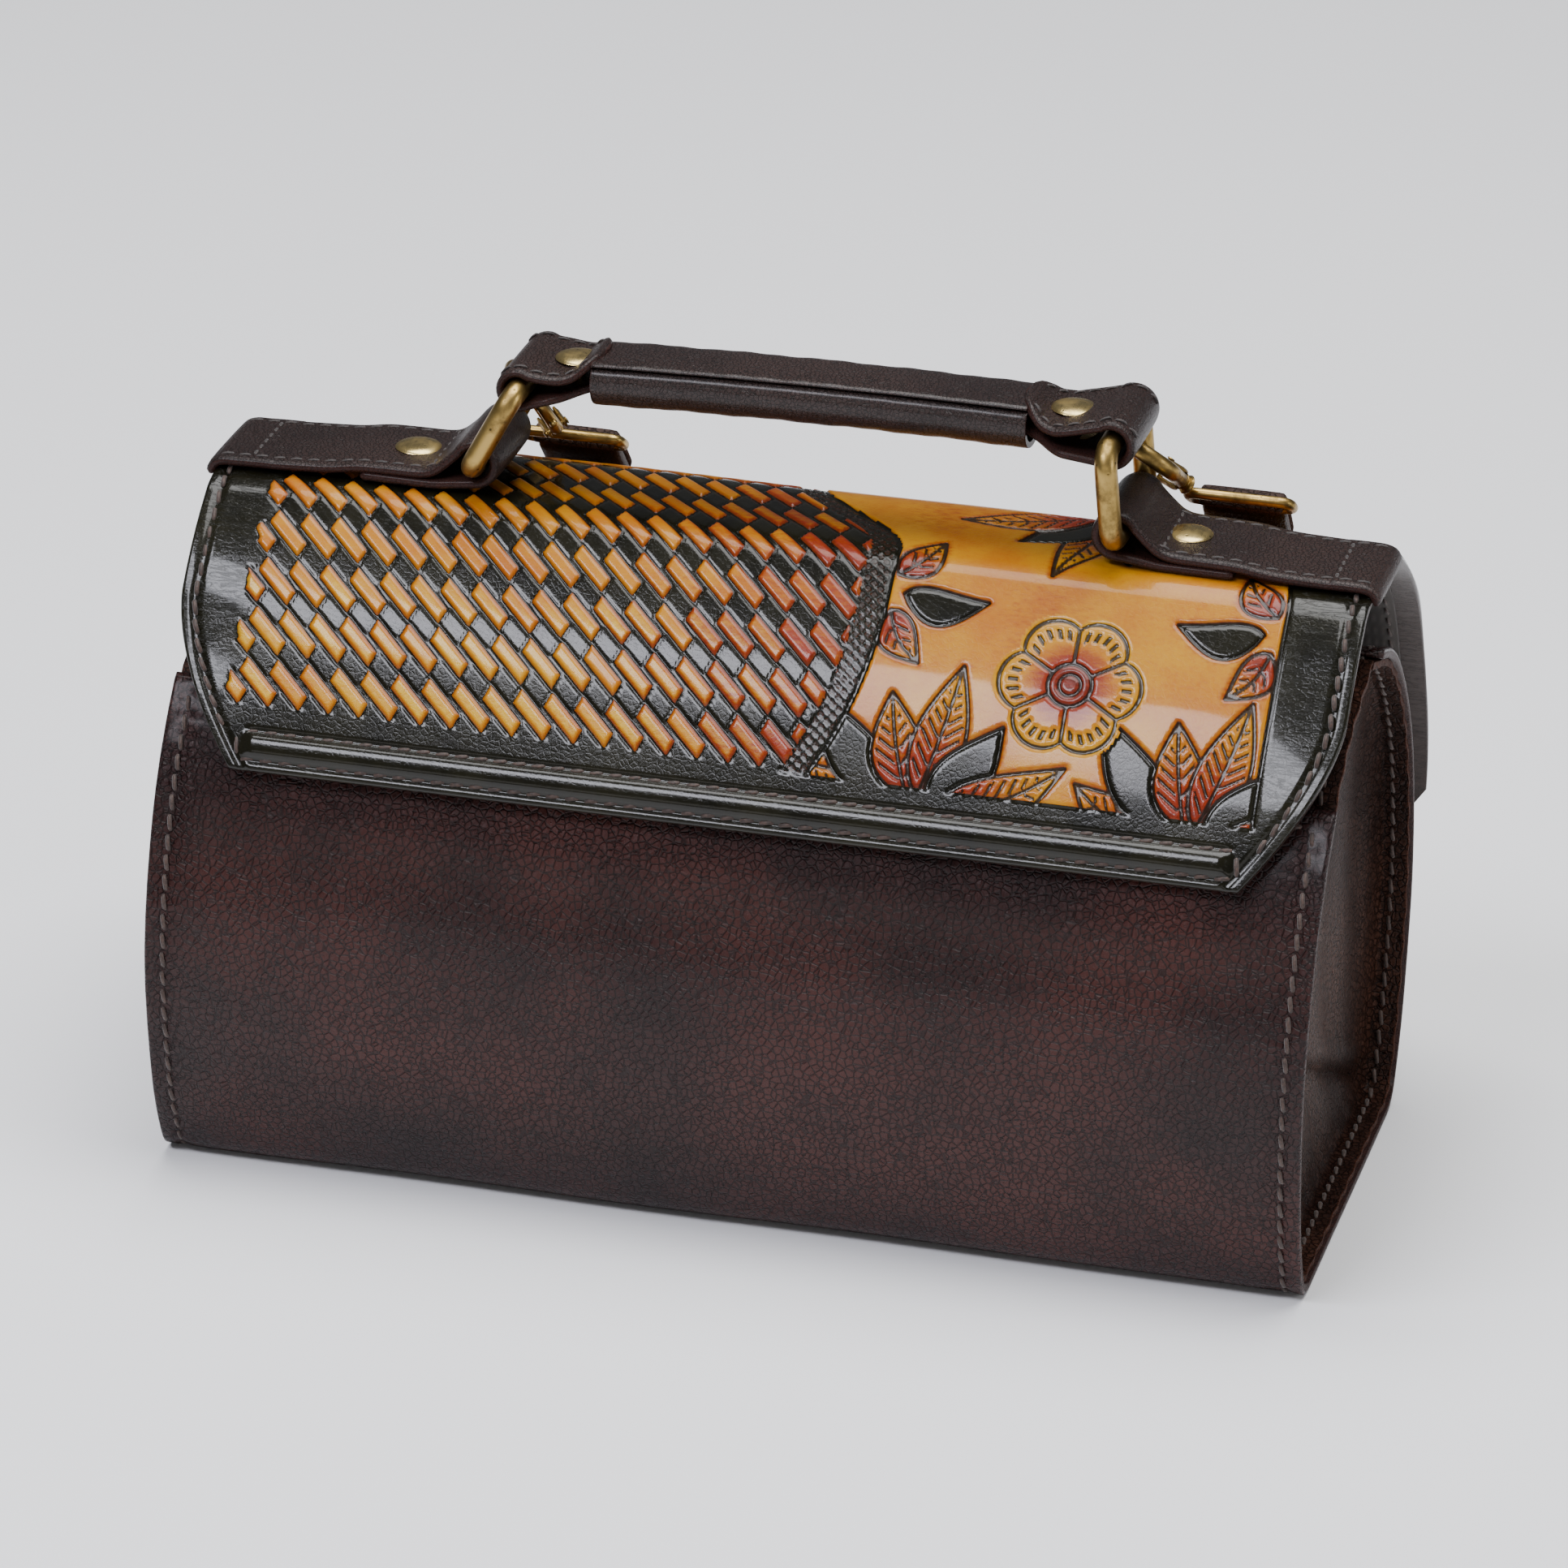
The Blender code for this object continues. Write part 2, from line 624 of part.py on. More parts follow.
def hook(side):
    """A snap hook: a round body on a straight shank, with a slotted lug for its gate."""
    line = []
    for k in range(15):
        turn = math.radians(HOOK_NOSE_ANGLE + (322 - HOOK_NOSE_ANGLE) * k / 14)
        line.append((HOOK_RADIUS * math.cos(turn), HOOK_RADIUS * math.sin(turn)))
    line += [(HOOK_RADIUS + 1.4 * MM, -2.2 * MM), (HOOK_RADIUS + 3.4 * MM, -0.5 * MM), (HOOK_SHANK - 3 * MM, 0),
             (HOOK_SHANK, 0)]
    made = as_mesh(wire("hook_" + side, in_hook(side, line), HOOK_WIRE, "brass"))
    (pu, pv), (fu, fv) = gate_ends()
    cheek = GATE_WIRE + GAP + 0.8 * MM
    lug = hook_box("hook_lug_" + side, side, (pu - 1.7 * MM, -1.0 * MM, -cheek), (pu + 2.8 * MM, pv + 1.7 * MM, cheek))
    boolean(made, lug, "UNION")
    gap = GATE_WIRE + GAP
    boolean(made, hook_box("gate_slot_" + side, side, (pu - 6 * MM, pv - gap - 0.3 * MM, -gap),
                           (pu + gap, pv + 6 * MM, gap)))
    _, _, _, n = hook_frame(side)
    centre = in_hook(side, [(pu, pv)])[0]
    boolean(made, cylinder("pin_hole_" + side, PIN_RADIUS + 0.15 * MM, 12 * MM, centre, None, n, 12))
    gate = as_mesh(wire("hook_gate_" + side, in_hook(side, [(pu, pv), (fu, fv)]), GATE_WIRE, "brass"))
    boolean(gate, cylinder("gate_boss_" + side, GATE_WIRE, 2 * GATE_WIRE, centre, None, n, 12), "UNION")
    boolean(gate, cylinder("gate_pin_hole_" + side, PIN_RADIUS + 0.15 * MM, 12 * MM, centre, None, n, 12))
    cylinder("gate_pin_" + side, PIN_RADIUS, 2 * cheek, centre, "brass", n, 12)


def eye(side):
    """The strap eye: a rectangular wire loop lying down the back of the ridge, with the strap on its far bar."""
    down = Vector((0, math.cos(math.radians(32)), -math.sin(math.radians(32))))
    end = in_hook(side, [(HOOK_SHANK, 0)])[0]
    _, u, _, _ = hook_frame(side)
    start = end + u * (EYE_WIRE + 4 * GAP)
    half = BELT_WIDTH / 2 + EYE_WIRE + 0.8 * MM
    x = BELT_X[side]
    corners = [Vector((x - half, start.y, start.z)), Vector((x + half, start.y, start.z))]
    corners += [corners[1] + down * EYE_DEPTH, corners[0] + down * EYE_DEPTH]
    return wire("strap_eye_" + side, corners, EYE_WIRE, "brass", closed=True), corners


def belt_route(side, eye_corners):
    """The run's centre points, and how far each has turned onto its edge."""
    cover_line = offset(smooth(metres(COVER_BACK), 2), -(BELT_STAND_OFF + BELT_THICK / 2))
    x = BELT_X[side]
    near, far = eye_corners[1], eye_corners[2]
    start = far + (far - near).normalized() * (EYE_WIRE + GAP)
    settled = start.y + BELT_SETTLING
    points = [(x, p.x, p.y, 0) for p in cover_line if p.x > settled and p.y > 72 * MM]
    floor = [(a * MM, b * MM, c * MM, turn) for a, b, c, turn in BELT_FLOOR[side]]
    return [(x, start.y, start.z, 0)] + points[::2] + floor


def belt_run(side, eye_corners):
    """A flat strap swept along its route, its width along X on the bag and upright where it meets the roll."""
    rows = smooth(belt_route(side, eye_corners), 3)
    shell = bmesh.new()
    rings = []
    for i, row in enumerate(rows):
        before, after = rows[max(i - 1, 0)], rows[min(i + 1, len(rows) - 1)]
        along = (after - before).to_3d().normalized()
        flat = (Vector((1, 0, 0)) - along * along.x).normalized()
        upright = (Vector((0, 0, 1)) - along * along.z).normalized() if abs(along.z) < 0.98 else flat
        turn = max(0.0, min(1.0, row[3])) * math.pi / 2
        wide = (flat * math.cos(turn) + upright * math.sin(turn)).normalized()
        thin = along.cross(wide).normalized()
        corners = ((1, 1), (-1, 1), (-1, -1), (1, -1))
        rings.append([shell.verts.new(row.to_3d() + wide * a * BELT_WIDTH / 2 + thin * b * BELT_THICK / 2)
                      for a, b in corners])
    for near, far in zip(rings, rings[1:]):
        for k in range(4):
            nxt = (k + 1) % 4
            shell.faces.new((near[k], near[nxt], far[nxt], far[k]))
    shell.faces.new(rings[0][::-1])
    shell.faces.new(rings[-1])
    bmesh.ops.recalc_face_normals(shell, faces=shell.faces)
    mesh = bpy.data.meshes.new("belt_run_" + side)
    shell.to_mesh(mesh)
    shell.free()
    put("belt_run_" + side, mesh, "strap_leather")


def roll():
    """The rest of the strap, rolled up on its edge behind the bag: the outer shape of the roll."""
    x, y = ROLL_CENTRE
    low = EDGE_Z - BELT_WIDTH / 2
    rim = []
    for radius in (ROLL_RADIUS, ROLL_HOLE):
        rim.append([(x + radius * math.cos(math.tau * k / 40), y + radius * math.sin(math.tau * k / 40))
                    for k in range(40)])
    extruded("belt_roll", rim[0], low, low + BELT_WIDTH, "strap_leather", "XY", rim[1:])


body_lining = body()
for hand in ("left", "right"):
    gusset(hand)
cover_parts = cover()
magnets(cover_parts["flap_lining"], body_lining)
base_straps = {hand: base_strap(hand) for hand in RINGS}
for hand in RINGS:
    wire("ring_" + hand, ring_points(hand), WIRE, "brass", closed=True)
handle_strap = handle()
rivets(base_straps, handle_strap, cover_parts)
for hand in RINGS:
    hook(hand)
    _, corners = eye(hand)
    belt_run(hand, corners)
roll()
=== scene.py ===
"""A barrel-shaped leather handbag with a tooled one-piece cover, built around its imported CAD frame.

Sections are (Y, Z) points and leather places are (x, s) points, both in millimetres. s runs over the cover
from the fold at the ridge: positive down the front flap, negative over the ridge and down the back.
"""

import math

import bpy
import numpy as np
from mathutils import Matrix, Vector, noise


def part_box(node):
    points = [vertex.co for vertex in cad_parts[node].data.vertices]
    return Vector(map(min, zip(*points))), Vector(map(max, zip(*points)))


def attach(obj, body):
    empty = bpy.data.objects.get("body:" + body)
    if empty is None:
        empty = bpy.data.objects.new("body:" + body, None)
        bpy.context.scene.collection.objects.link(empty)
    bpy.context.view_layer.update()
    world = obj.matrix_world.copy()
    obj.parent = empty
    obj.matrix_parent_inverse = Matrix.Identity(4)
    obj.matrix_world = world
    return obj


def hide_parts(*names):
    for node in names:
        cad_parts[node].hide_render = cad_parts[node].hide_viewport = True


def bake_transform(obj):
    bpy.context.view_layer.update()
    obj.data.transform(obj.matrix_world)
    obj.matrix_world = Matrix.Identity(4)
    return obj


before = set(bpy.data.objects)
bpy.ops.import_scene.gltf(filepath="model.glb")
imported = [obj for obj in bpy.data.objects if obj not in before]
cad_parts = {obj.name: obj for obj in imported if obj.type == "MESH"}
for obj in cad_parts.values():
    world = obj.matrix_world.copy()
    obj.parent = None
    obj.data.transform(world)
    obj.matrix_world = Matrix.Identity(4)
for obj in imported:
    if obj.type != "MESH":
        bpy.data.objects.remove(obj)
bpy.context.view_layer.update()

MM = 0.001
HALF_LENGTH = 125.0
COVER_THICK = 2.0
SEAM_INSET = 4.2

COVER_LINE = [(62.9, 41.5), (67, 49.5), (71.3, 60), (72, 73), (68, 87), (61, 102), (51, 118), (40, 129.3),
              (28, 137.2), (19, 141.6), (13, 143), (2, 143.1), (-8, 142.9), (-13.45, 141.5), (-17.3, 138.6),
              (-24, 132.3), (-33, 122.6), (-43, 108.7), (-53, 93.5)]
FOLD_POINT = 13
CURVE_STEPS = 12
BARREL = [(44, 0), (48, 1.5), (51.5, 5.5), (57, 20), (60.5, 43), (59.5, 61), (54.8, 79), (48, 93),
          (37, 107), (22, 119), (0, 127)]
STRAP_Y = 3.0
STRAP_WIDTH = 25.0
RING_FOOT_Z = 150.0
RING_PITCH = 20.0
RING_HALF_WIDTH = 16.5
RING_CORNER = 4.0
RING_WIRE = 2.4
# Each ring's place along X, and how far it leans, in degrees.
RINGS = {"left": (-67.5, 28.0), "right": (71.0, -6.0)}
SIGNS = {"left": -1, "right": 1}


# Meshes --------------------------------------------------------------------------------------------------


def smooth_line(points, steps):
    """A Catmull-Rom curve through the points, as an array."""
    points = np.array(points, float)
    ends = np.vstack([2 * points[0] - points[1], points, 2 * points[-1] - points[-2]])
    t = (np.arange(steps) / steps)[:, None]
    parts = []
    for a, b, c, d in zip(ends, ends[1:], ends[2:], ends[3:]):
        parts.append(0.5 * (2 * b + (c - a) * t + (2 * a - 5 * b + 4 * c - d) * t ** 2
                            + (3 * b - a - 3 * c + d) * t ** 3))
    return np.vstack(parts + [points[-1:]])


def lengths(line):
    return np.r_[0, np.cumsum(np.linalg.norm(np.diff(line, axis=0), axis=1))]


def at_lengths(line, where):
    """The line's points at those distances along it."""
    along = lengths(line)
    return np.stack([np.interp(where, along, line[:, k]) for k in range(line.shape[1])], axis=1)


def spaced(line, pitch):
    total = lengths(line)[-1]
    return at_lengths(line, np.linspace(0, total, max(2, round(total / pitch) + 1)))


def unit(vectors):
    return vectors / np.maximum(np.linalg.norm(vectors, axis=-1, keepdims=True), 1e-12)


def tangents(line, closed=False):
    if closed:
        return unit(np.roll(line, -1, axis=0) - np.roll(line, 1, axis=0))
    return unit(np.gradient(line, axis=0))


def outward(line):
    """For a (Y, Z) line, the unit direction to the right of the way it runs."""
    along = tangents(line)
    return np.stack([along[:, 1], -along[:, 0]], axis=1)


def square_to(along, directions):
    """Unit vectors: each direction without its share along the line."""
    return unit(directions - along * np.sum(along * directions, axis=1, keepdims=True))


def at_x(x, line):
    """(Y, Z) points as 3D points, at one X or at one for each."""
    return np.column_stack([np.broadcast_to(x, len(line)), line])


def signed_volume(mesh):
    """Six times the mesh's volume, below zero if its faces look inwards."""
    mesh.calc_loop_triangles()
    corners = np.empty(len(mesh.vertices) * 3)
    mesh.vertices.foreach_get("co", corners)
    index = np.empty(len(mesh.loop_triangles) * 3, np.int32)
    mesh.loop_triangles.foreach_get("vertices", index)
    a, b, c = corners.reshape(-1, 3)[index.reshape(-1, 3)].transpose(1, 0, 2)
    return float(np.sum(a * np.cross(b, c)))


def piece(name, points, faces, material, slot, body=None, sharp=None, **attributes):
    """A mesh object from points in millimetres, with point attributes, riding on a body if one is given."""
    mesh = bpy.data.meshes.new(name)
    mesh.from_pydata((np.asarray(points, float) * MM).tolist(), [], faces)
    if signed_volume(mesh) < 0:
        mesh.flip_normals()
    mesh.polygons.foreach_set("use_smooth", [True] * len(mesh.polygons))
    if sharp is not None:
        mesh.set_sharp_from_angle(angle=math.radians(sharp))
    for key, values in attributes.items():
        values = np.asarray(values, np.float32)
        kind, field = ("FLOAT_VECTOR", "vector") if values.ndim == 2 else ("FLOAT", "value")
        mesh.attributes.new(key, kind, "POINT").data.foreach_set(field, values.ravel())
    mesh.update()
    made = bpy.data.objects.new(name, mesh)
    bpy.context.scene.collection.objects.link(made)
    mesh.materials.append(material)
    if body:
        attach(made, body)
    return made


def ring_faces(rings, count, closed=False):
    """Faces of a tube made of rings of `count` points each, with flat ends unless it closes on itself."""
    faces = []
    for i in range(rings if closed else rings - 1):
        a, b = i * count, ((i + 1) % rings) * count
        faces += [(a + k, b + k, b + (k + 1) % count, a + (k + 1) % count) for k in range(count)]
    if not closed:
        faces.append(tuple(range(count)))
        faces.append(tuple(reversed(range((rings - 1) * count, rings * count))))
    return faces


def panel(name, line, start, reach, outer, inner, thick, material, slot, body=None, lift=None, under=None,
          more=None):
    """A sheet of leather or cloth that runs along a (Y, Z) line and reaches `reach` to each side of X = 0.

    outer and inner are the places across it, from -1 to 1, of its outer and inner points. start is the
    leather place s of the line's first point. lift and under give how far each surface stands out, and
    more gives further point attributes.
    """
    s = start + lengths(line)
    facing = outward(line)
    count = len(outer) + len(inner) + 2
    first, last = len(outer), len(outer) + 1 + len(inner)
    x, depth, raw = np.zeros((3, len(line), count))
    reach = np.asarray(reach, float)[:, None]
    edge_bulge = 0.12
    x[:, :first] = reach * np.asarray(outer)
    x[:, first] = reach[:, 0] + edge_bulge
    x[:, first + 1:last] = reach * np.asarray(inner)[::-1]
    x[:, last] = -reach[:, 0] - edge_bulge
    depth[:, first] = depth[:, last] = thick / 2
    depth[:, first + 1:last] = thick
    raw[:, first:] = 1
    places = np.repeat(s[:, None], count, axis=1)
    if lift is not None:
        depth[:, :first] -= lift(x[:, :first], places[:, :first])
    if under is not None:
        depth[:, first + 1:last] += under(x[:, first + 1:last], places[:, first + 1:last])
    rounding = min(0.35, thick * 0.25)
    for edge in (0, -1):
        depth[edge, :first] += rounding
        depth[edge, first + 1:last] -= rounding
    depth[:, 0] += rounding * 0.7
    depth[:, first - 1] += rounding * 0.7
    points = np.stack([x, line[:, :1] - facing[:, :1] * depth, line[:, 1:] - facing[:, 1:] * depth], axis=2)
    spots = np.stack([x, places, raw], axis=2).reshape(-1, 3)
    extra = {key: values.ravel() for key, values in more(x.shape).items()} if more else {}
    return piece(name, points.reshape(-1, 3), ring_faces(len(line), count), material, slot, body,
                 leather=spots, raw=raw.ravel(), **extra)


def section_of(thick, crown):
    """Points round a strap's section: (share of the half width, mm in from there, height, whether raw)."""
    top = [(-1, 0.05, thick / 2 - 0.4, 0), (-1, 0.4, thick / 2 - 0.05, 0)]
    top += [(f, 0, thick / 2 + crown * (1 - f ** 4), 0) for f in (-0.85, -0.5, -0.15, 0.15, 0.5, 0.85)]
    top += [(1, 0.4, thick / 2 - 0.05, 0), (1, 0.05, thick / 2 - 0.4, 0)]
    right = [(1, -0.08, thick / 6, 1), (1, -0.08, -thick / 6, 1)]
    bottom = [(share, inset, -height, 1) for share, inset, height, _ in reversed(top)]
    left = [(-1, inset, -height, 1) for _, inset, height, _ in right]
    return np.array(top + right + bottom + left)


def strap_axes(centres, wide):
    """A strap's directions at each of its points: across it, and out of its outer side."""
    along = tangents(centres)
    wide = square_to(along, wide)
    return wide, np.cross(wide, along)


def strap(name, centres, wide, width, thick, material, slot, body=None, crown=0.12):
    """A flat strap along 3D points. wide is its across direction at each point; its width may change."""
    wide, up = strap_axes(centres, wide)
    width = np.broadcast_to(width, len(centres)).astype(float)
    share, inset, height, raw = section_of(thick, crown).T
    run = lengths(centres)
    rings, raws, places = [], [], []
    for i, (centre, w, u) in enumerate(zip(centres, wide, up)):
        end = i in (0, len(centres) - 1)
        across = np.sign(share) * np.maximum(np.abs(share) * width[i] / 2 - inset - 0.3 * end, 0.02)
        rise = height * (0.6 if end else 1.0)
        rings.append(centre + np.outer(across, w) + np.outer(rise, u))
        raws.append(np.ones_like(raw) if end else raw)
        places.append(np.stack([np.full_like(across, run[i]), across, rise], axis=1))
    return piece(name, np.vstack(rings), ring_faces(len(centres), len(share)), material, slot, body, 50,
                 leather=np.vstack(places), raw=np.concatenate(raws))


def edge_runs(centres, wide, width, rise, inset):
    """Where stitches go along a strap's two edges: (points, outward directions) for each."""
    wide, up = strap_axes(centres, wide)
    half = np.broadcast_to(width, len(centres)) / 2 - inset
    return [(centres + wide * (half * sign)[:, None] + up * rise, up) for sign in (-1, 1)]


def tube(name, line, radius, material, slot, body=None, closed=False, sides=14, flat=1.0, across=None):
    """A wire along 3D points: round, or flattened across its own `across` direction."""
    along = tangents(line, closed)
    if across is None:
        side = np.cross(along[0], [0.3, 0.5, 0.8])
        sideways = []
        for way in along:
            side = unit(side - way * np.dot(side, way))
            sideways.append(side)
        sideways = np.array(sideways)
    else:
        sideways = square_to(along, across)
    other = np.cross(along, sideways)
    radius = np.broadcast_to(radius, len(line))
    turns = np.arange(sides) * math.tau / sides
    rings = [p + r * (np.outer(np.cos(turns), a) * flat + np.outer(np.sin(turns), b))
             for p, r, a, b in zip(line, radius, sideways, other)]
    return piece(name, np.vstack(rings), ring_faces(len(line), sides, closed), material, slot, body, 40)


def turned(name, profile, place, axis, material, slot, body=None, sides=40):
    """A turned solid: (radius, height) points from one pole to the other, about an axis through a place."""
    axis = unit(np.array(axis, float))
    side = unit(np.cross(axis, [0.31, 0.87, 0.21]))
    other = np.cross(axis, side)
    turns = np.arange(sides) * math.tau / sides
    circle = np.outer(np.cos(turns), side) + np.outer(np.sin(turns), other)
    rings = [np.asarray(place) + axis * h + circle * r for r, h in profile]
    return piece(name, np.vstack(rings), ring_faces(len(profile), sides), material, slot, body, 35)


def joined(name, objects, body):
    """Several new pieces as one object."""
    bpy.ops.object.select_all(action="DESELECT")
    for o in objects:
        o.select_set(True)
    bpy.context.view_layer.objects.active = objects[0]
    bpy.ops.object.join()
    made = bpy.context.view_layer.objects.active
    made.name = made.data.name = name
    made.select_set(False)
    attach(made, body)
    return made


# One stitch: (place along it, lift, size), the last two as shares of the thread's radius.
STITCH = [(-0.5, -0.5, 0.55), (-0.36, 0.25, 0.95), (0.0, 0.62, 1.0), (0.36, 0.25, 0.95), (0.5, -0.5, 0.55)]
STITCH_SIDES = 6
STITCH_LEAN = math.radians(9)
STITCH_GAP = 0.8


def stitches(name, runs, body=None, pitch=4.2, radius=0.42, thread=None):
    """Sewing thread along runs of (points, surface normals): one bent thread for each stitch."""
    points, faces = [], []
    turns = np.arange(STITCH_SIDES) * math.tau / STITCH_SIDES
    around = ring_faces(len(STITCH), STITCH_SIDES)
    for line, normals in runs:
        total = lengths(line)[-1]
        number = max(1, round(total / pitch))
        step = total / number
        middles = (np.arange(number) + 0.5) * step
        centres = at_lengths(line, middles)
        ups = unit(np.stack([np.interp(middles, lengths(line), normals[:, k]) for k in range(3)], axis=1))
        ahead = at_lengths(line, np.clip((np.arange(number) + 0.6) * step, 0, total))
        for centre, up, way in zip(centres, ups, unit(ahead - centres)):
            way = way * math.cos(STITCH_LEAN) + np.cross(up, way) * math.sin(STITCH_LEAN)
            side = np.cross(up, way)
            base = len(points)
            for a, lift, size in STITCH:
                spot = centre + way * a * (step - STITCH_GAP) + up * lift * radius
                for c, d in zip(np.cos(turns), np.sin(turns)):
                    points.append(spot + (side * c * 1.15 + up * d * 0.8) * radius * size)
            faces += [tuple(base + k for k in face) for face in around]
    return piece(name, np.array(points), faces, thread or THREAD, "strap_leather", body)


# Materials -----------------------------------------------------------------------------------------------


class Value:
    """What a node gives out. Adding, taking away and multiplying values adds further nodes."""

    def __init__(self, look, socket):
        self.look, self.socket = look, socket

    def __add__(self, other):
        return self.look.math("ADD", self, other)

    def __radd__(self, other):
        return self.look.math("ADD", other, self)

    def __sub__(self, other):
        return self.look.math("SUBTRACT", self, other)

    def __rsub__(self, other):
        return self.look.math("SUBTRACT", other, self)

    def __mul__(self, other):
        return self.look.math("MULTIPLY", self, other)

    def __abs__(self):
        return self.look.math("ABSOLUTE", self)


class Look:
    """A procedural material: each call adds a node and gives back its output."""

    def __init__(self, name, **constants):
        self.material = bpy.data.materials.new(name)
        self.material.use_nodes = True
        self.tree = self.material.node_tree
        self.shader = self.tree.nodes["Principled BSDF"]
        for key, value in constants.items():
            self.shader.inputs[key.replace("_", " ").title().replace("Ior", "IOR")].default_value = value

    def add(self, kind, inputs, output=0, **settings):
        node = self.tree.nodes.new("ShaderNode" + kind)
        for key, value in settings.items():
            setattr(node, key, value)
        for key, value in inputs.items():
            socket = node.inputs[key]
            if isinstance(value, Value):
                self.tree.links.new(value.socket, socket)
            elif value is not None:
                is_colour = isinstance(value, tuple) and socket.type == "RGBA"
                socket.default_value = (*value, 1) if is_colour else value
        return Value(self, node.outputs[output])

    def attribute(self, name, output="Fac"):
        return self.add("Attribute", {}, output, attribute_name=name)

    def place(self):
        return self.add("TexCoord", {}, "Object")

    def math(self, operation, a, b=None, clamp=False):
        return self.add("Math", {0: a, 1: b}, operation=operation, use_clamp=clamp)

    def scaled(self, vector, scale, turn=(0, 0, 0)):
        return self.add("Mapping", {"Vector": vector, "Scale": Vector(scale), "Rotation": Vector(turn)})

    def noise(self, vector, scale, detail=3.0, roughness=0.55, distortion=0.0):
        inputs = {"Vector": vector, "Scale": scale, "Detail": detail, "Roughness": roughness,
                  "Distortion": distortion}
        return self.add("TexNoise", inputs, "Fac")

    def cells(self, vector, scale, feature="F1", randomness=1.0):
        inputs = {"Vector": vector, "Scale": scale, "Randomness": randomness}
        return self.add("TexVoronoi", inputs, "Distance", feature=feature)

    def step(self, value, low, high, to_low=0.0, to_high=1.0):
        inputs = {"Value": value, "From Min": low, "From Max": high, "To Min": to_low, "To Max": to_high}
        return self.add("MapRange", inputs, interpolation_type="SMOOTHSTEP")

    def mix(self, share, a, b):
        return self.add("Mix", {0: share, 6: a, 7: b}, 2, data_type="RGBA")

    def finish(self, colour, rough=None, height=None, distance=0.0, strength=0.0):
        """Connects the shader and gives the material; its relief is `distance` metres deep."""
        ends = {"Base Color": colour, "Roughness": rough}
        if height is not None:
            relief = {"Height": height, "Distance": distance, "Strength": strength}
            ends["Normal"] = self.add("Bump", relief, "Normal")
        for key, value in ends.items():
            if value is not None:
                self.tree.links.new(value.socket, self.shader.inputs[key])
        return self.material


def darker(colour, share):
    return tuple(c * share for c in colour)


def leather(name, dark, light, roughness, grain, pores, gloss, shine=0.3, raw=(0.034, 0.008, 0.005),
            attribute=None, creases=0.0, stretch=(1.6, 0.55, 1.0), depth=0.00045, specular=0.2):
    """Grained leather: pebbled cells, hair pores in rows, cloudy colour, and raw fibres on cut edges; with
    creases, painted shade darkens the low wrinkle valleys.
    """
    look = Look(name, coat_weight=gloss, coat_roughness=shine, specular_ior_level=specular)
    where = look.attribute(attribute, "Vector") if attribute else look.place()
    size = 1.0 if attribute else 1 / MM
    cloud = look.noise(where, 0.02 * size, 4.0)
    fine = look.noise(where, 1.3 * size, 4.0, 0.65)
    warp = where
    if attribute:
        wander = look.add("TexNoise", {"Vector": where, "Scale": 0.35 * size}, "Color")
        warp = look.add("VectorMath", {0: where, 1: wander}, operation="ADD")
    pebbles = look.step(look.cells(warp, 0.95 * size / grain, "DISTANCE_TO_EDGE"), 0.0, 0.14)
    wrinkles = look.noise(look.scaled(where, stretch), 0.8 * size / grain, 5.0, 0.6, 0.8)
    colour = look.mix(look.step(cloud, 0.3, 0.72), dark, light)
    colour = look.mix((1.0 - pebbles) * 0.75, colour, darker(dark, 0.35))
    height = pebbles * 0.5 + wrinkles * 0.8 + fine * 0.25

    rows = look.noise(where, 0.09 * size, 2.0)
    dots = look.cells(look.scaled(where, (0.62, 1.0, 1.35)), 0.82 * size, randomness=0.8)
    pit = (1.0 - look.step(dots, 0.17, 0.3)) * look.step(rows, 0.32, 0.55)
    colour = look.mix(pit * (0.8 * pores), colour, darker(dark, 0.22))
    height = height - pit * (0.9 * pores)
    if creases:
        streaks = look.noise(look.scaled(where, (0.12, 1.0, 1.0)), 0.9 * size, 3.0, 0.6, 1.5)
        crease = 1.0 - look.step(abs(streaks - 0.5), 0.0, 0.03)
        height = height - crease * creases
        # Painted shade: the colour is darkened in the low wrinkle valleys, patchy along the crease streaks.
        valley = 1.0 - look.step(wrinkles, 0.36, 0.5)
        colour = look.mix(valley * streaks, colour, darker(dark, 0.25))

    edge = look.step(look.attribute("raw"), 0.35, 0.65)
    fibres = look.step(look.noise(where, 2.2 * size, 5.0, 0.75), 0.35, 0.65)
    colour = look.mix(edge, colour, look.mix(fibres, darker(raw, 0.4), raw))
    rough = (roughness - 0.06) + look.noise(where, 0.12 * size, 3.0) * 0.14
    rough = look.math("ADD", rough, edge * 0.35, clamp=True)
    return look.finish(colour, rough, height, depth * grain, 0.9)


def metal(name, colour, dark, roughness):
    """Worn brass: darker tarnish in clouds, fine scratches and a few pits."""
    look = Look(name, metallic=1.0)
    where = look.place()
    tarnish = look.step(look.noise(where, 160.0, 5.0, 0.65), 0.42, 0.72)
    scratches = look.noise(look.scaled(where, (1.0, 0.08, 0.35)), 2600.0, 3.0, 0.6)
    pit = 1.0 - look.step(look.cells(where, 420.0), 0.07, 0.16)
    base = look.mix(pit * 0.7, look.mix(tarnish, colour, dark), darker(dark, 0.3))
    rough = roughness + tarnish * 0.22 + scratches * 0.1
    return look.finish(base, rough, scratches * 0.35 - pit * 1.0, 0.00005, 0.6)


def cloth(name, colour, pale, thread=0.55):
    """A plain woven lining."""
    look = Look(name, roughness=0.85, sheen_weight=0.15)
    where = look.place()
    bands = {"Scale": 320.0 * thread, "Distortion": 0.4}
    warp = look.add("TexWave", {"Vector": where, **bands}, "Fac", bands_direction="X")
    turned_place = look.scaled(where, (1, 1, 1), (0.6, 0, 0))
    weft = look.add("TexWave", {"Vector": turned_place, **bands}, "Fac", bands_direction="Z")
    weave = warp * weft
    worn = look.mix(weave * 0.6 + look.noise(where, 60.0) * 0.4, colour, pale)
    return look.finish(worn, None, weave, 0.00015, 0.6)


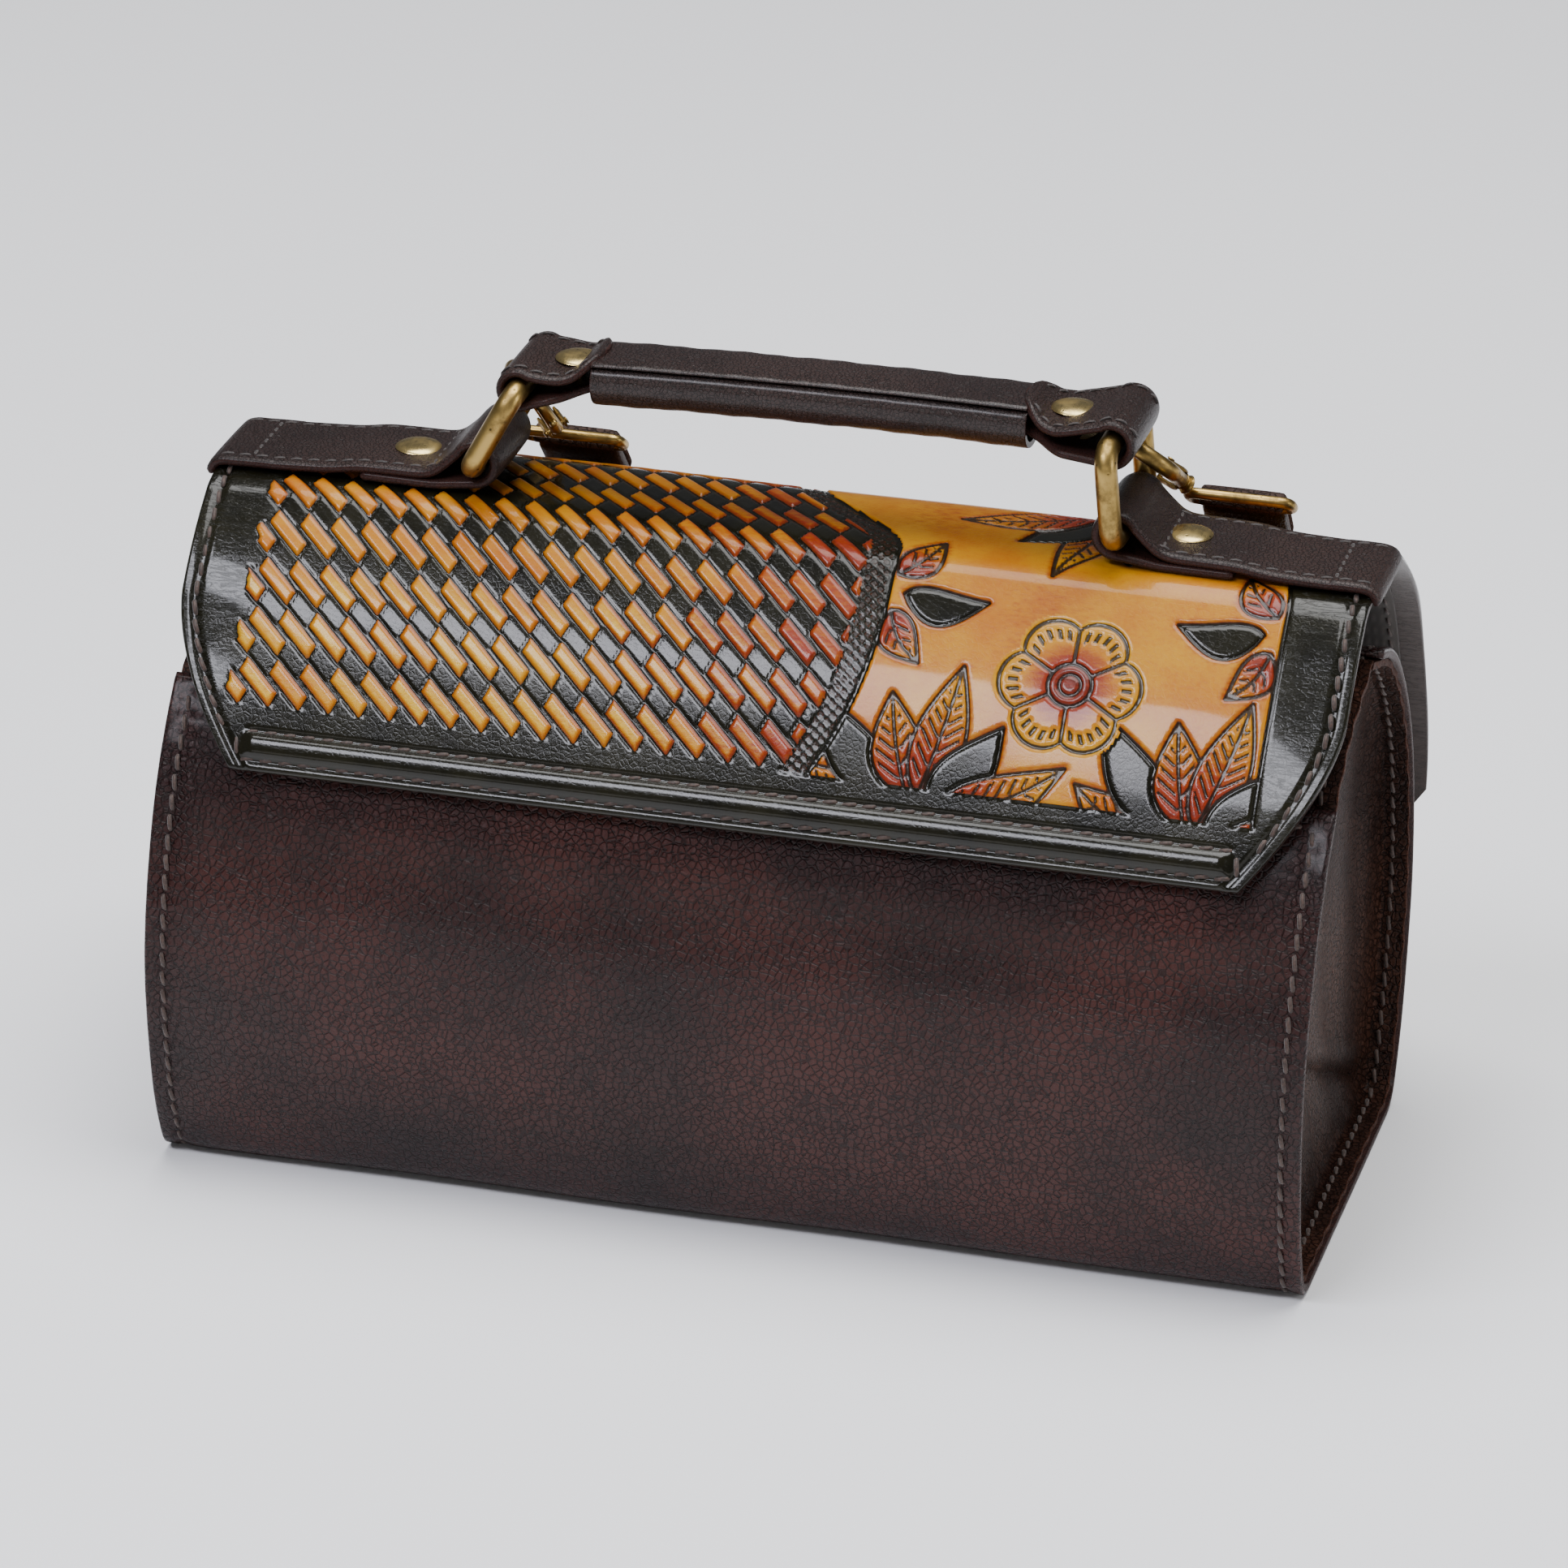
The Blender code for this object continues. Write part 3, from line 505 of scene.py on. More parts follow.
def twisted_thread(name, colour, pale):
    look = Look(name, roughness=0.6, sheen_weight=0.2)
    twist = look.noise(look.place(), 1900.0, 3.0)
    return look.finish(look.mix(look.step(twist, 0.35, 0.65), colour, pale), None, twist, 0.0001, 0.8)


# Leathers: dark and light colour, roughness, grain size, pores, gloss.
STRAP_DYES = (0.015, 0.0075, 0.0065), (0.032, 0.017, 0.014)
BODY_LEATHER = leather("body_leather_look", (0.012, 0.0030, 0.0030), (0.050, 0.0125, 0.0095), 0.34, 1.5,
                       0.9, 0.16, shine=0.2)
GUSSET_LEATHER = leather("gusset_leather_look", (0.024, 0.0085, 0.005), (0.085, 0.034, 0.020), 0.42, 1.4,
                         0.25, 0.05, shine=0.28, creases=0.25, stretch=(1.0, 1.5, 0.45), depth=0.0013,
                         specular=0.12, raw=(0.10, 0.030, 0.014))
STRAP_LEATHER = leather("strap_leather_look", *STRAP_DYES, 0.42, 0.9, 0.35, 0.2)
BELT_LEATHER = leather("belt_leather_look", *STRAP_DYES, 0.42, 0.9, 0.35, 0.2, attribute="leather",
                       raw=(0.055, 0.024, 0.016))
GRIP_LEATHER = leather("grip_leather_look", *STRAP_DYES, 0.36, 0.9, 0.8, 0.4, shine=0.25)
STRAP_END = leather("strap_end_look", (0.036, 0.020, 0.016), (0.070, 0.042, 0.032), 0.7, 1.5, 0.3, 0.0,
                    raw=(0.09, 0.045, 0.032))
BRASS = metal("antique_brass", (0.40, 0.27, 0.085), (0.13, 0.085, 0.030), 0.26)
CAP_BRASS = metal("cap_brass", (0.62, 0.47, 0.20), (0.36, 0.26, 0.10), 0.2)
STEEL = metal("magnet_steel", (0.45, 0.45, 0.46), (0.25, 0.25, 0.26), 0.3)
LINING = cloth("lining_cloth", (0.022, 0.017, 0.014), (0.055, 0.044, 0.037))
BOARD = cloth("covered_board", (0.030, 0.024, 0.020), (0.070, 0.056, 0.046), 0.7)
THREAD = twisted_thread("brown_thread", (0.016, 0.007, 0.004), (0.052, 0.025, 0.016))
DARK_THREAD = twisted_thread("dark_thread", (0.007, 0.004, 0.003), (0.024, 0.013, 0.010))


# The tooled pattern --------------------------------------------------------------------------------------

BRICK_PITCH = (6.67, 11.1)
BRICK_CENTRE = (-98.15, 21.45)
BRICK_LONG = np.array((7.8, 7.3))
BRICK_SHORT = np.array((-1.4, 3.35))
BRICK_LEFT = -111.3
PATTERN_END = 49.6
MIRROR_S = -32.0
# Dye and cut are distances in mm from the edge of a dyed place (above zero inside) and from a cut line
# (below zero on it). Further than this from either, nothing changes.
FAR = 3.0
CUT_HALF = 0.42

# The floral field lies between two plain curved borders; a beaded band parts it from the weave.
BAND_WIDTH = 6.0
FIELD_RIGHT = 109.0

# A stock rosette in the middle of the field, with a mirrored pair of leaf sprays on each level, all by rule.
ROSE = (67.0, 24.0)
ROSE_RADIUS = 15.0
ROSE_EYE = 4.6
PETALS = 6
TICKS = 36
# Sprays: root, first and last direction in degrees, number of leaves, length, width.
SPRAYS = [((38, 56), -160, -25, 6, 34, 11.0), ((96, 56), -155, -20, 6, 34, 11.0),
          ((67, -34), 22, 158, 6, 35, 10.5), ((24, 8), -55, 55, 3, 23, 8.0), ((110, 8), 125, 235, 3, 23, 8.0)]


def to_line(points, spots):
    """The distance from each point to a line through the spots."""
    best = np.full(len(points), 1e9)
    for a, b in zip(spots, spots[1:]):
        way = b - a
        t = np.clip(((points - a) @ way) / max(way @ way, 1e-9), 0, 1)
        best = np.minimum(best, np.hypot(*(points - a - t[:, None] * way).T))
    return best


def within(points, outline):
    """Whether each point is inside a closed outline."""
    inside = np.zeros(len(points), bool)
    x, y = points.T
    for (ax, ay), (bx, by) in zip(outline, np.roll(outline, -1, axis=0)):
        crosses = (ay > y) != (by > y)
        inside ^= crosses & (x < (bx - ax) * (y - ay) / (by - ay if by != ay else 1e-9) + ax)
    return inside


class Field:
    """The pattern's values at leather places, each worked out only near what makes it."""

    def __init__(self, x, s):
        self.points = np.stack([x.ravel(), s.ravel()], axis=1)
        self.shape = x.shape
        count = len(self.points)
        self.dye = np.full(count, -FAR)
        self.cut = np.full(count, FAR)
        self.red = np.zeros(count)
        self.pale = np.zeros(count)

    def near(self, spots):
        low, high = np.min(spots, axis=0) - FAR, np.max(spots, axis=0) + FAR
        return np.flatnonzero(np.all((self.points > low) & (self.points < high), axis=1))


def left_border(s):
    """The floral field's left edge: a plain bow on the front, leaning over the ridge."""
    front = 25.5 - 10.5 * np.clip((s - 8) / 41.6, 0, 1) ** 2.2
    return np.where(s > 0, front, 25.5 - 24.0 * soft_step(-s, 2, 34))


def leaf(base, tip, width, bend):
    """A pointed leaf from base to tip: its outline and its middle line."""
    base, tip = np.array(base, float), np.array(tip, float)
    way = tip - base
    side = np.array((-way[1], way[0])) / np.hypot(*way)
    t = np.linspace(0, 1, 15)
    middle = base + np.outer(t, way) + np.outer(np.sin(math.pi * t) * bend, side)
    half = np.outer(width / 2 * np.sin(math.pi * t ** 0.75), side)
    return np.vstack([middle + half, (middle - half)[::-1]]), middle


def soft_step(value, low, high):
    t = np.clip((value - low) / (high - low), 0, 1)
    return t * t * (3 - 2 * t)


def bricks(field, region):
    """Basket weave: slanted bricks, row by row, each outlined by a cut, with a painted highlight on the lower
    rows.
    """
    points = field.points
    cell = np.array([BRICK_LONG / 2, BRICK_SHORT / 2]).T
    solve = np.linalg.inv(cell)
    to_side = abs(np.cross(BRICK_LONG, BRICK_SHORT)) / 2
    best = np.full(len(points), -9.0)
    number = np.zeros((len(points), 2))
    offset = (points - BRICK_CENTRE) / BRICK_PITCH
    base = np.round(offset)
    for i in (-1, 0, 1):
        for j in (-1, 0, 1):
            which = base + (i, j)
            local = (points - BRICK_CENTRE - which * BRICK_PITCH) @ solve.T
            inside = np.minimum((1 - np.abs(local[:, 0])) * to_side / np.hypot(*BRICK_SHORT),
                                (1 - np.abs(local[:, 1])) * to_side / np.hypot(*BRICK_LONG))
            better = inside > best
            best[better] = inside[better]
            number[better] = which[better]
    shade = np.sin(number[:, 0] * 12.9898 + number[:, 1] * 78.233) * 43758.5453
    shade = shade - np.floor(shade)
    value = np.minimum(best, region)
    mine = region > -1.0
    field.dye[mine] = np.maximum(field.dye[mine], value[mine])
    outline = np.abs(best + 0.12) - 0.12
    outline[region < 0.2] = FAR
    field.cut[mine] = np.minimum(field.cut[mine], outline[mine])
    reddening = np.clip((points[:, 0] + 45) / 65, 0, 1)
    rim = 1 - np.clip(best / 0.9, 0, 1)
    field.red[mine] = np.clip(0.75 * reddening + 0.35 * rim + 0.35 * (shade - 0.5), 0, 1)[mine]
    # Painted highlight: brick centres are only a little paler everywhere, and much paler on the lower rows of
    # the front slope (s past 14 mm), less on the redder right, where the light's reflection lies.
    centre = np.clip((best - 0.55) / 0.7, 0, 1)
    slope = np.clip((points[:, 1] - 14) / 10, 0, 1)
    field.pale[mine] = (centre * (0.15 + 0.75 * slope * (1 - 0.5 * reddening)) * (0.5 + shade))[mine]


def beads(field, region):
    """The border between the two fields: rows of small raised diamonds."""
    x, s = field.points.T
    turn = math.radians(38)
    length, width = 1.95, 1.7
    u = (x * math.cos(turn) + s * math.sin(turn)) / length
    v = (-x * math.sin(turn) + s * math.cos(turn)) / width
    inside = (0.5 - np.maximum(np.abs(u - np.round(u)), np.abs(v - np.round(v)))) * width - 0.3
    mine = region > 0
    field.dye[mine] = np.minimum(inside, region)[mine]
    field.cut[mine] = np.minimum(-inside[mine] + 0.02, FAR)
    field.red[mine] = 0.72
    field.pale[mine] = np.clip(inside[mine] * 0.9, 0, 0.4)


def flower(field, region):
    """The floral field: a dyed ground carrying a petalled rosette and sprays of veined leaves."""
    mine = region > 0
    field.dye[mine] = region[mine]
    x, s = field.points.T
    wash = 0.5 + 0.5 * np.sin(x * 0.11 + 1.3) * np.sin(s * 0.09 + 0.4)
    field.red[mine] = 0.08 + 0.4 * wash[mine] ** 2
    field.pale[mine] = 0.05 + 0.3 * (1 - wash[mine])

    across, down = x - ROSE[0], s - ROSE[1]
    distance, angle = np.hypot(across, down), np.arctan2(down, across)
    rim = ROSE_RADIUS * (0.8 + 0.2 * np.abs(np.cos(PETALS / 2 * angle)) ** 0.7)
    in_rose = distance < rim + 1.2

    for root, first, last, number, length, width in SPRAYS:
        for k, turn in enumerate(np.radians(np.linspace(first, last, number))):
            way = np.array((math.cos(turn), math.sin(turn)))
            reach = length * (1.0 if k % 2 else 0.8)
            outline, middle = leaf(np.array(root) + way * 5, np.array(root) + way * reach, width,
                                   2.5 * math.cos(turn))
            index = field.near(outline)
            index = index[~in_rose[index] & mine[index]]
            if not len(index):
                continue
            points = field.points[index]
            edge = to_line(points, np.vstack([outline, outline[:1]]))
            inside = within(points, outline)
            signed = np.where(inside, edge, -edge)
            field.cut[index] = np.where(signed > 0.3, FAR, field.cut[index])
            field.dye[index] = np.where(inside, region[index], field.dye[index])
            field.red[index] = np.maximum(field.red[index], 0.75 - 0.25 * np.abs(signed))
            field.cut[index] = np.minimum(field.cut[index], np.abs(signed) - CUT_HALF)
            # Every third leaf is left dark; the others are dyed and get veins and a middle rib.
            if k % 3 == 1:
                field.dye[index] = np.minimum(field.dye[index], -signed)
                continue
            run = (points - outline[0]) @ way
            offset = to_line(points, middle)
            vein = (run - offset * 1.1) / 3.1
            vein = np.abs(vein - np.round(vein)) * 2.2 - 0.32
            vein = np.where(inside & (signed > 1.0) & (offset > 0.7), vein, FAR)
            rib = np.where(inside, offset - 0.38, FAR)
            field.cut[index] = np.minimum(field.cut[index], np.minimum(vein, rib))
            field.red[index] = np.where(inside, np.clip(1.05 - run / reach, 0.25, 0.95), field.red[index])

    petal = angle * PETALS / math.tau
    gap = np.abs(petal - np.floor(petal) - 0.5) / PETALS * math.tau * distance
    tick = angle * TICKS / math.tau
    tick = np.abs(tick - np.round(tick)) / TICKS * math.tau * distance - CUT_HALF
    cut = np.minimum(np.abs(distance - rim) - 0.45, np.abs(distance - ROSE_EYE) - 0.45)
    cut = np.minimum(cut, np.where((distance > ROSE_EYE) & (distance < rim), gap - 0.4, FAR))
    cut = np.minimum(cut, np.where((distance > rim - 4.2) & (distance < rim - 1.6), tick, FAR))
    cut = np.minimum(cut, np.abs(distance - ROSE_EYE / 2) - 0.35)
    near = mine & (distance < ROSE_RADIUS + 2)
    field.cut[near] = np.where(in_rose[near], cut[near], np.minimum(field.cut[near], cut[near]))
    rosy = mine & in_rose
    field.red[rosy] = np.clip(1.05 - 0.9 * (distance[rosy] - 3.5) / 8, 0.1, 1.0)
    field.pale[rosy] = 0.5 * soft_step(distance[rosy], 7, 13)


def tooling(x, s):
    """The whole pattern at these places. Behind the ridge the floral field is mirrored."""
    field = Field(x, s)
    px, ps = field.points.T
    far = 2 * MIRROR_S - PATTERN_END
    mirrored = np.where(ps < MIRROR_S, 2 * MIRROR_S - ps, ps)
    left = left_border(mirrored)
    right = FIELD_RIGHT - 6 * soft_step(-mirrored, -4, 30)
    ends = np.minimum(PATTERN_END - ps, ps - far)
    ragged = np.array([noise.noise((0.0, s_ * 0.45, 0.0)) for s_ in np.unique(ps)])
    ragged = np.interp(ps, np.unique(ps), ragged)
    basket = np.minimum(np.minimum(px - BRICK_LEFT - 1.1 * ragged, left - BAND_WIDTH - px), ends - 0.8)
    band = np.minimum(np.minimum(px - (left - BAND_WIDTH), left - 0.5 - px), ends)
    flora = np.minimum(np.minimum(px - left - 0.3, right - px), ends)
    bricks(field, basket)
    beads(field, band)
    field.points = np.stack([px, mirrored], axis=1)
    flower(field, flora)
    border = np.minimum(np.abs(px - left), np.abs(px - right))
    field.cut = np.where(ends > 0, np.minimum(field.cut, border - CUT_HALF), field.cut)
    return {key: np.clip(getattr(field, key), -FAR, FAR).reshape(field.shape)
            for key in ("dye", "cut", "red", "pale")}


COVER_CURVE = smooth_line(COVER_LINE, CURVE_STEPS)
COVER_RUN = lengths(COVER_CURVE)
FOLD_AT = COVER_RUN[FOLD_POINT * CURVE_STEPS]
FLAP_LENGTH = COVER_RUN[-1] - FOLD_AT
CORNER_INSET = 17.0
SIDE_STITCH = 3.2
LOW_STITCHES = (54.4, 60.2)
BEAD_REACH = 106.5
_pattern = {}


def cover_reach_at(s):
    """The cover's half width at a leather place: it narrows towards both lower corners."""
    s = np.asarray(s, float)
    z = np.interp(s + FOLD_AT, COVER_RUN, COVER_CURVE[:, 1])
    front = np.clip((124 - z) / (124 - 93.5), 0, 1) ** 1.6 * (s > 0)
    back = np.clip((66 - z) / (66 - 41.5), 0, 1) * (s < 0)
    return HALF_LENGTH - CORNER_INSET * np.maximum(front, back)


def cover_lift(x, s):
    """How far the cover's surface stands out: tooling, the padded bead along the flap, grooves and sag."""
    values = tooling(x, s)
    _pattern.update(values)
    rise = 0.34 * soft_step(values["dye"], -0.15, 0.75) - 0.36 * (1 - soft_step(values["cut"], -0.2, 0.35))
    side = np.abs(np.abs(x) - (cover_reach_at(s) - SIDE_STITCH))
    rise -= 0.35 * (1 - soft_step(side, 0.3, 1.6))
    middle, half = (LOW_STITCHES[0] + LOW_STITCHES[1]) / 2, (LOW_STITCHES[1] - LOW_STITCHES[0]) / 2
    across = np.clip(1 - ((s - middle) / half) ** 2, 0, 1)
    ends = soft_step(BEAD_REACH - np.abs(x), 0, 3)
    rise += 1.25 * np.sqrt(across) * ends
    for row in LOW_STITCHES:
        rise -= 0.4 * (1 - soft_step(np.abs(s - row), 0.2, 1.2)) * ends
    wave = np.sin(x * 0.031 + 0.7) * np.sin(s * 0.043 + 1.1) + 0.6 * np.sin(x * 0.083 + s * 0.05)
    edge_wave = soft_step(np.abs(x), 95, 124) * np.sin(s * 0.16 + np.sign(x) * 0.8) * 0.45
    return rise + 0.16 * wave + edge_wave


def cover_material():
    """Glossy black leather; the dye runs from yellow through orange and red to brown, and the pale yellow
    also carries a painted highlight on the lower brick rows.
    """
    look = Look("tooled_cover_look", coat_weight=0.3, coat_roughness=0.07, specular_ior_level=0.2)
    where = look.attribute("leather", "Vector")
    dye, cut, red, pale = (look.attribute(name) for name in ("dye", "cut", "red", "pale"))
    cloud = look.noise(where, 0.05, 4.0, 0.6)
    fine = look.noise(where, 0.9, 5.0, 0.65)
    brush = look.noise(look.scaled(where, (0.35, 1.0, 1.0), (0, 0, 0.7)), 1.1, 4.0, 0.7)
    ground = look.mix(look.step(cloud, 0.3, 0.7), (0.0035, 0.0032, 0.0016), (0.011, 0.0098, 0.0045))
    smudge = look.step(look.noise(look.scaled(where, (0.2, 1, 1)), 0.55, 5.0, 0.75), 0.66, 0.78)
    smudge = smudge * look.step(dye, -FAR, -0.6)
    ground = look.mix(smudge * 0.35, ground, (0.22, 0.12, 0.03))

    ink = look.mix(look.step(cloud, 0.35, 0.68), (0.34, 0.088, 0.0006), (0.42, 0.170, 0.0006))
    ink = look.mix(look.step(brush, 0.5, 0.75) * 0.35, ink, (0.27, 0.05, 0.003))
    # pale brings in pale yellow: pale dye at bead, petal and brick centres, and the painted highlight on the
    # lower brick rows.
    light = look.math("MULTIPLY", pale, look.step(fine, 0.3, 0.62, 0.45, 1.0), clamp=True)
    ink = look.mix(light, ink, (0.50, 0.29, 0.004))
    depth = red + (brush - 0.5) * 0.7
    ink = look.mix(look.step(depth, 0.25, 0.85), ink, (0.20, 0.018, 0.003))
    ink = look.mix(look.step(depth, 0.8, 1.15, 0.0, 0.85), ink, (0.055, 0.005, 0.002))
    ink = look.mix((1.0 - look.step(dye, 0.1, 0.75)) * 0.55, ink, (0.14, 0.025, 0.002))
    colour = look.mix(look.step(dye + (fine - 0.5) * 0.35, -0.05, 0.16), ground, ink)

    groove = 1.0 - look.step(cut + (fine - 0.5) * 0.2, -0.12, 0.16)
    colour = look.mix(groove * 0.95, colour, (0.006, 0.0055, 0.003))
    end = look.step(abs(look.add("SeparateXYZ", {"Vector": where}, "X")), 108.0, 116.0)
    cracks = look.noise(look.scaled(where, (0.16, 1.0, 1.0)), 0.75, 4.0, 0.6, 1.2)
    crack = (1.0 - look.step(abs(cracks - 0.5), 0.0, 0.035)) * end
    colour = look.mix(crack * 0.6, colour, (0.010, 0.010, 0.007))
    edge = look.step(look.attribute("raw"), 0.35, 0.65)
    colour = look.mix(edge, colour, look.mix(fine, (0.012, 0.006, 0.004), (0.034, 0.016, 0.011)))
    pebbles = look.step(look.cells(where, 0.85, "DISTANCE_TO_EDGE"), 0.0, 0.2)
    height = fine * 0.22 + pebbles * 0.08 - crack * 0.9 - groove * 1.6 + look.step(dye, -0.2, 0.45) * 0.9
    rough = 0.13 + look.step(dye, -0.1, 0.2) * 0.14 + look.noise(where, 0.3, 3.0) * 0.12
    rough = look.math("ADD", rough, edge * 0.4, clamp=True)
    return look.finish(colour, rough, height, 0.00022, 0.7)


def over_the_fold(obj):
    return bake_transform(obj)


def cover():
    """The whole cover in one piece, with finer points from just behind the ridge to the flap's edge."""
    fine, coarse = ((0.5, 1.1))
    total = COVER_RUN[-1]
    split = FOLD_AT - 34.0
    where = np.r_[0, 0.3, np.linspace(1.0, split, round(split / coarse)),
                  np.linspace(split, total - 0.4, round((total - split) / fine))[1:], total]
    s = where - FOLD_AT
    columns = round(2 * HALF_LENGTH / fine)
    outer = np.r_[-1, -0.9975, np.linspace(-0.994, 0.994, columns), 0.9975, 1]

    def values(shape):
        filler = {"dye": -FAR, "cut": FAR, "red": 0.0, "pale": 0.0}
        rest = (shape[0], shape[1] - len(outer))
        return {key: np.hstack([_pattern[key], np.full(rest, filler[key])]) for key in filler}

    made = panel("tooled_cover", at_lengths(COVER_CURVE, where), s[0], cover_reach_at(s), outer,
                 np.linspace(-1, 1, 26), COVER_THICK, cover_material(), "cover_leather", lift=cover_lift,
                 more=values)
    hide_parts("cover_back", "front_flap")
    over_the_fold(made)


def on_cover(x, s, depth=0.0):
    """Points and outward directions on the cover's plain surface at leather places."""
    x, s = np.broadcast_arrays(np.asarray(x, float), np.asarray(s, float))
    spots, facing = (np.stack([np.interp(s + FOLD_AT, COVER_RUN, line[:, k]) for k in (0, 1)], axis=1)
                     for line in (COVER_CURVE, outward(COVER_CURVE)))
    normals = unit(at_x(0, facing))
    return at_x(x, spots) - normals * depth, normals


def cover_stitches():
    """Thread along both sides of the cover, round the padded bead, and along the back's lower edge."""
    runs = []
    s = np.linspace(LOW_STITCHES[0], 5 - FOLD_AT, 200)
    for sign in (-1, 1):
        runs.append(on_cover(sign * (cover_reach_at(s) - SIDE_STITCH), s, 0.3))
    x = np.linspace(-BEAD_REACH, BEAD_REACH, 200)
    for row in LOW_STITCHES:
        runs.append(on_cover(x, row, 0.4))
    s = np.linspace(LOW_STITCHES[0] + 0.5, LOW_STITCHES[1] - 0.3, 10)
    for sign in (-1, 1):
        runs.append(on_cover(sign * (BEAD_REACH + 0.6), s, 0.2))
    reach = HALF_LENGTH - CORNER_INSET - SIDE_STITCH - 0.5
    runs.append(on_cover(np.linspace(-reach, reach, 200), 6 - FOLD_AT, -0.15))
    over_the_fold(stitches("cover_stitches", runs, radius=0.46))


# Camera, light and floor ---------------------------------------------------------------------------------


def studio():
    """The camera fitted to the photo, a pale floor and four lamps."""
    azimuth, elevation, roll = math.radians(14.47), math.radians(23.86), math.radians(1.0)
    aim, distance = Vector((-0.0013, 0, 0.0811)), 1.713
    back = Vector((math.sin(azimuth) * math.cos(elevation), -math.cos(azimuth) * math.cos(elevation),
                   math.sin(elevation)))
    right = Vector((math.cos(azimuth), math.sin(azimuth), 0))
    up = back.cross(right)
    right, up = (math.cos(roll) * right + math.sin(roll) * up, -math.sin(roll) * right + math.cos(roll) * up)
    place = aim + back * distance
    data = bpy.data.cameras.new("camera")
    data.lens = 184.5
    data.sensor_width = 36
    camera = bpy.data.objects.new("camera", data)
    camera.matrix_world = Matrix(((right.x, up.x, back.x, place.x), (right.y, up.y, back.y, place.y),
                                  (right.z, up.z, back.z, place.z), (0, 0, 0, 1)))
    bpy.context.scene.collection.objects.link(camera)
    bpy.context.scene.camera = camera

    look = Look("floor_look", roughness=0.9)
    white = look.finish(look.mix(look.noise(look.place(), 3.0), (0.86, 0.86, 0.88), (0.88, 0.88, 0.89)))
    size, z = 6000.0, -0.02
    floor = piece("floor", [(-size, -size, z), (size, -size, z), (size, size, z), (-size, size, z)],
                  [(0, 1, 2, 3)], white, "lining")

    world = bpy.data.worlds.new("studio")
    world.use_nodes = True
    world.node_tree.nodes["Background"].inputs["Color"].default_value = (0.9, 0.93, 1.0, 1)
    world.node_tree.nodes["Background"].inputs["Strength"].default_value = 0.14
    bpy.context.scene.world = world

    def panel_light(name, place, target, size, power, colour=(1, 1, 1)):
        light = bpy.data.lights.new(name, "AREA")
        light.shape = "RECTANGLE"
        light.size, light.size_y = size
        light.energy = power
        light.color = colour
        made = bpy.data.objects.new(name, light)
        made.location = place
        made.rotation_mode = "QUATERNION"
        made.rotation_quaternion = (Vector(target) - Vector(place)).to_track_quat("-Z", "Y")
        bpy.context.scene.collection.objects.link(made)

    panel_light("key", (-0.45, -0.85, 1.25), (0, 0, 0.1), (0.9, 0.3), 17.0, (0.90, 0.91, 1.0))
    panel_light("overhead", (0.1, 0.15, 1.7), (0, 0, 0.1), (1.5, 1.2), 46.0)
    panel_light("side", (1.2, -0.2, 0.5), (0.1, 0, 0.08), (0.5, 0.6), 4.0)
    panel_light("front", (0.3, -1.6, 0.5), (0, 0, 0.05), (2.2, 0.35), 3.0, (1.0, 0.97, 0.94))


# Body ----------------------------------------------------------------------------------------------------


def barrel_line():
    """The outer line of the whole barrel, from its top down the front, under, and up the back."""
    half = smooth_line(BARREL, 10)
    front = half[::-1] * (-1, 1)
    base = np.linspace(front[-1], half[0], 24)[1:-1]
    return np.vstack([front, base, half])


def part_of(line, start_y, end_y):
    """The barrel line from where it passes start_y on the front to where it reaches end_y on the back."""
    middle = len(line) // 2
    front = np.flatnonzero(line[:middle, 0] <= start_y)[0]
    back = middle + np.flatnonzero((line[middle:, 0] <= end_y) & (line[middle:, 1] > 100))[0]
    return line[front:back + 1]


def wrap_lift(x, s):
    """The wrap's soft unevenness, its pressed seam rows near the ends, and a pucker at each stitch."""
    rise = 0.28 * np.sin(x * 0.024 + 0.5) * np.sin(s * 0.03 + 0.3)
    rise += 0.16 * np.sin(x * 0.071 + s * 0.027) + 0.1 * np.sin(x * 0.05 - s * 0.11 + 2)
    edge = HALF_LENGTH - np.abs(x)
    rise -= 0.4 * np.exp(-((edge - 4.2) / 1.0) ** 2)
    rise -= 0.14 * np.exp(-((edge - 6) / 2.5) ** 2) * (1 + np.sin(s * math.tau / 4.3))
    rise += 0.2 * np.exp(-((edge - 1.8) / 1.2) ** 2) * np.sin(s * math.tau / 8.6 + x)
    return rise * soft_step(s, 0, 6)


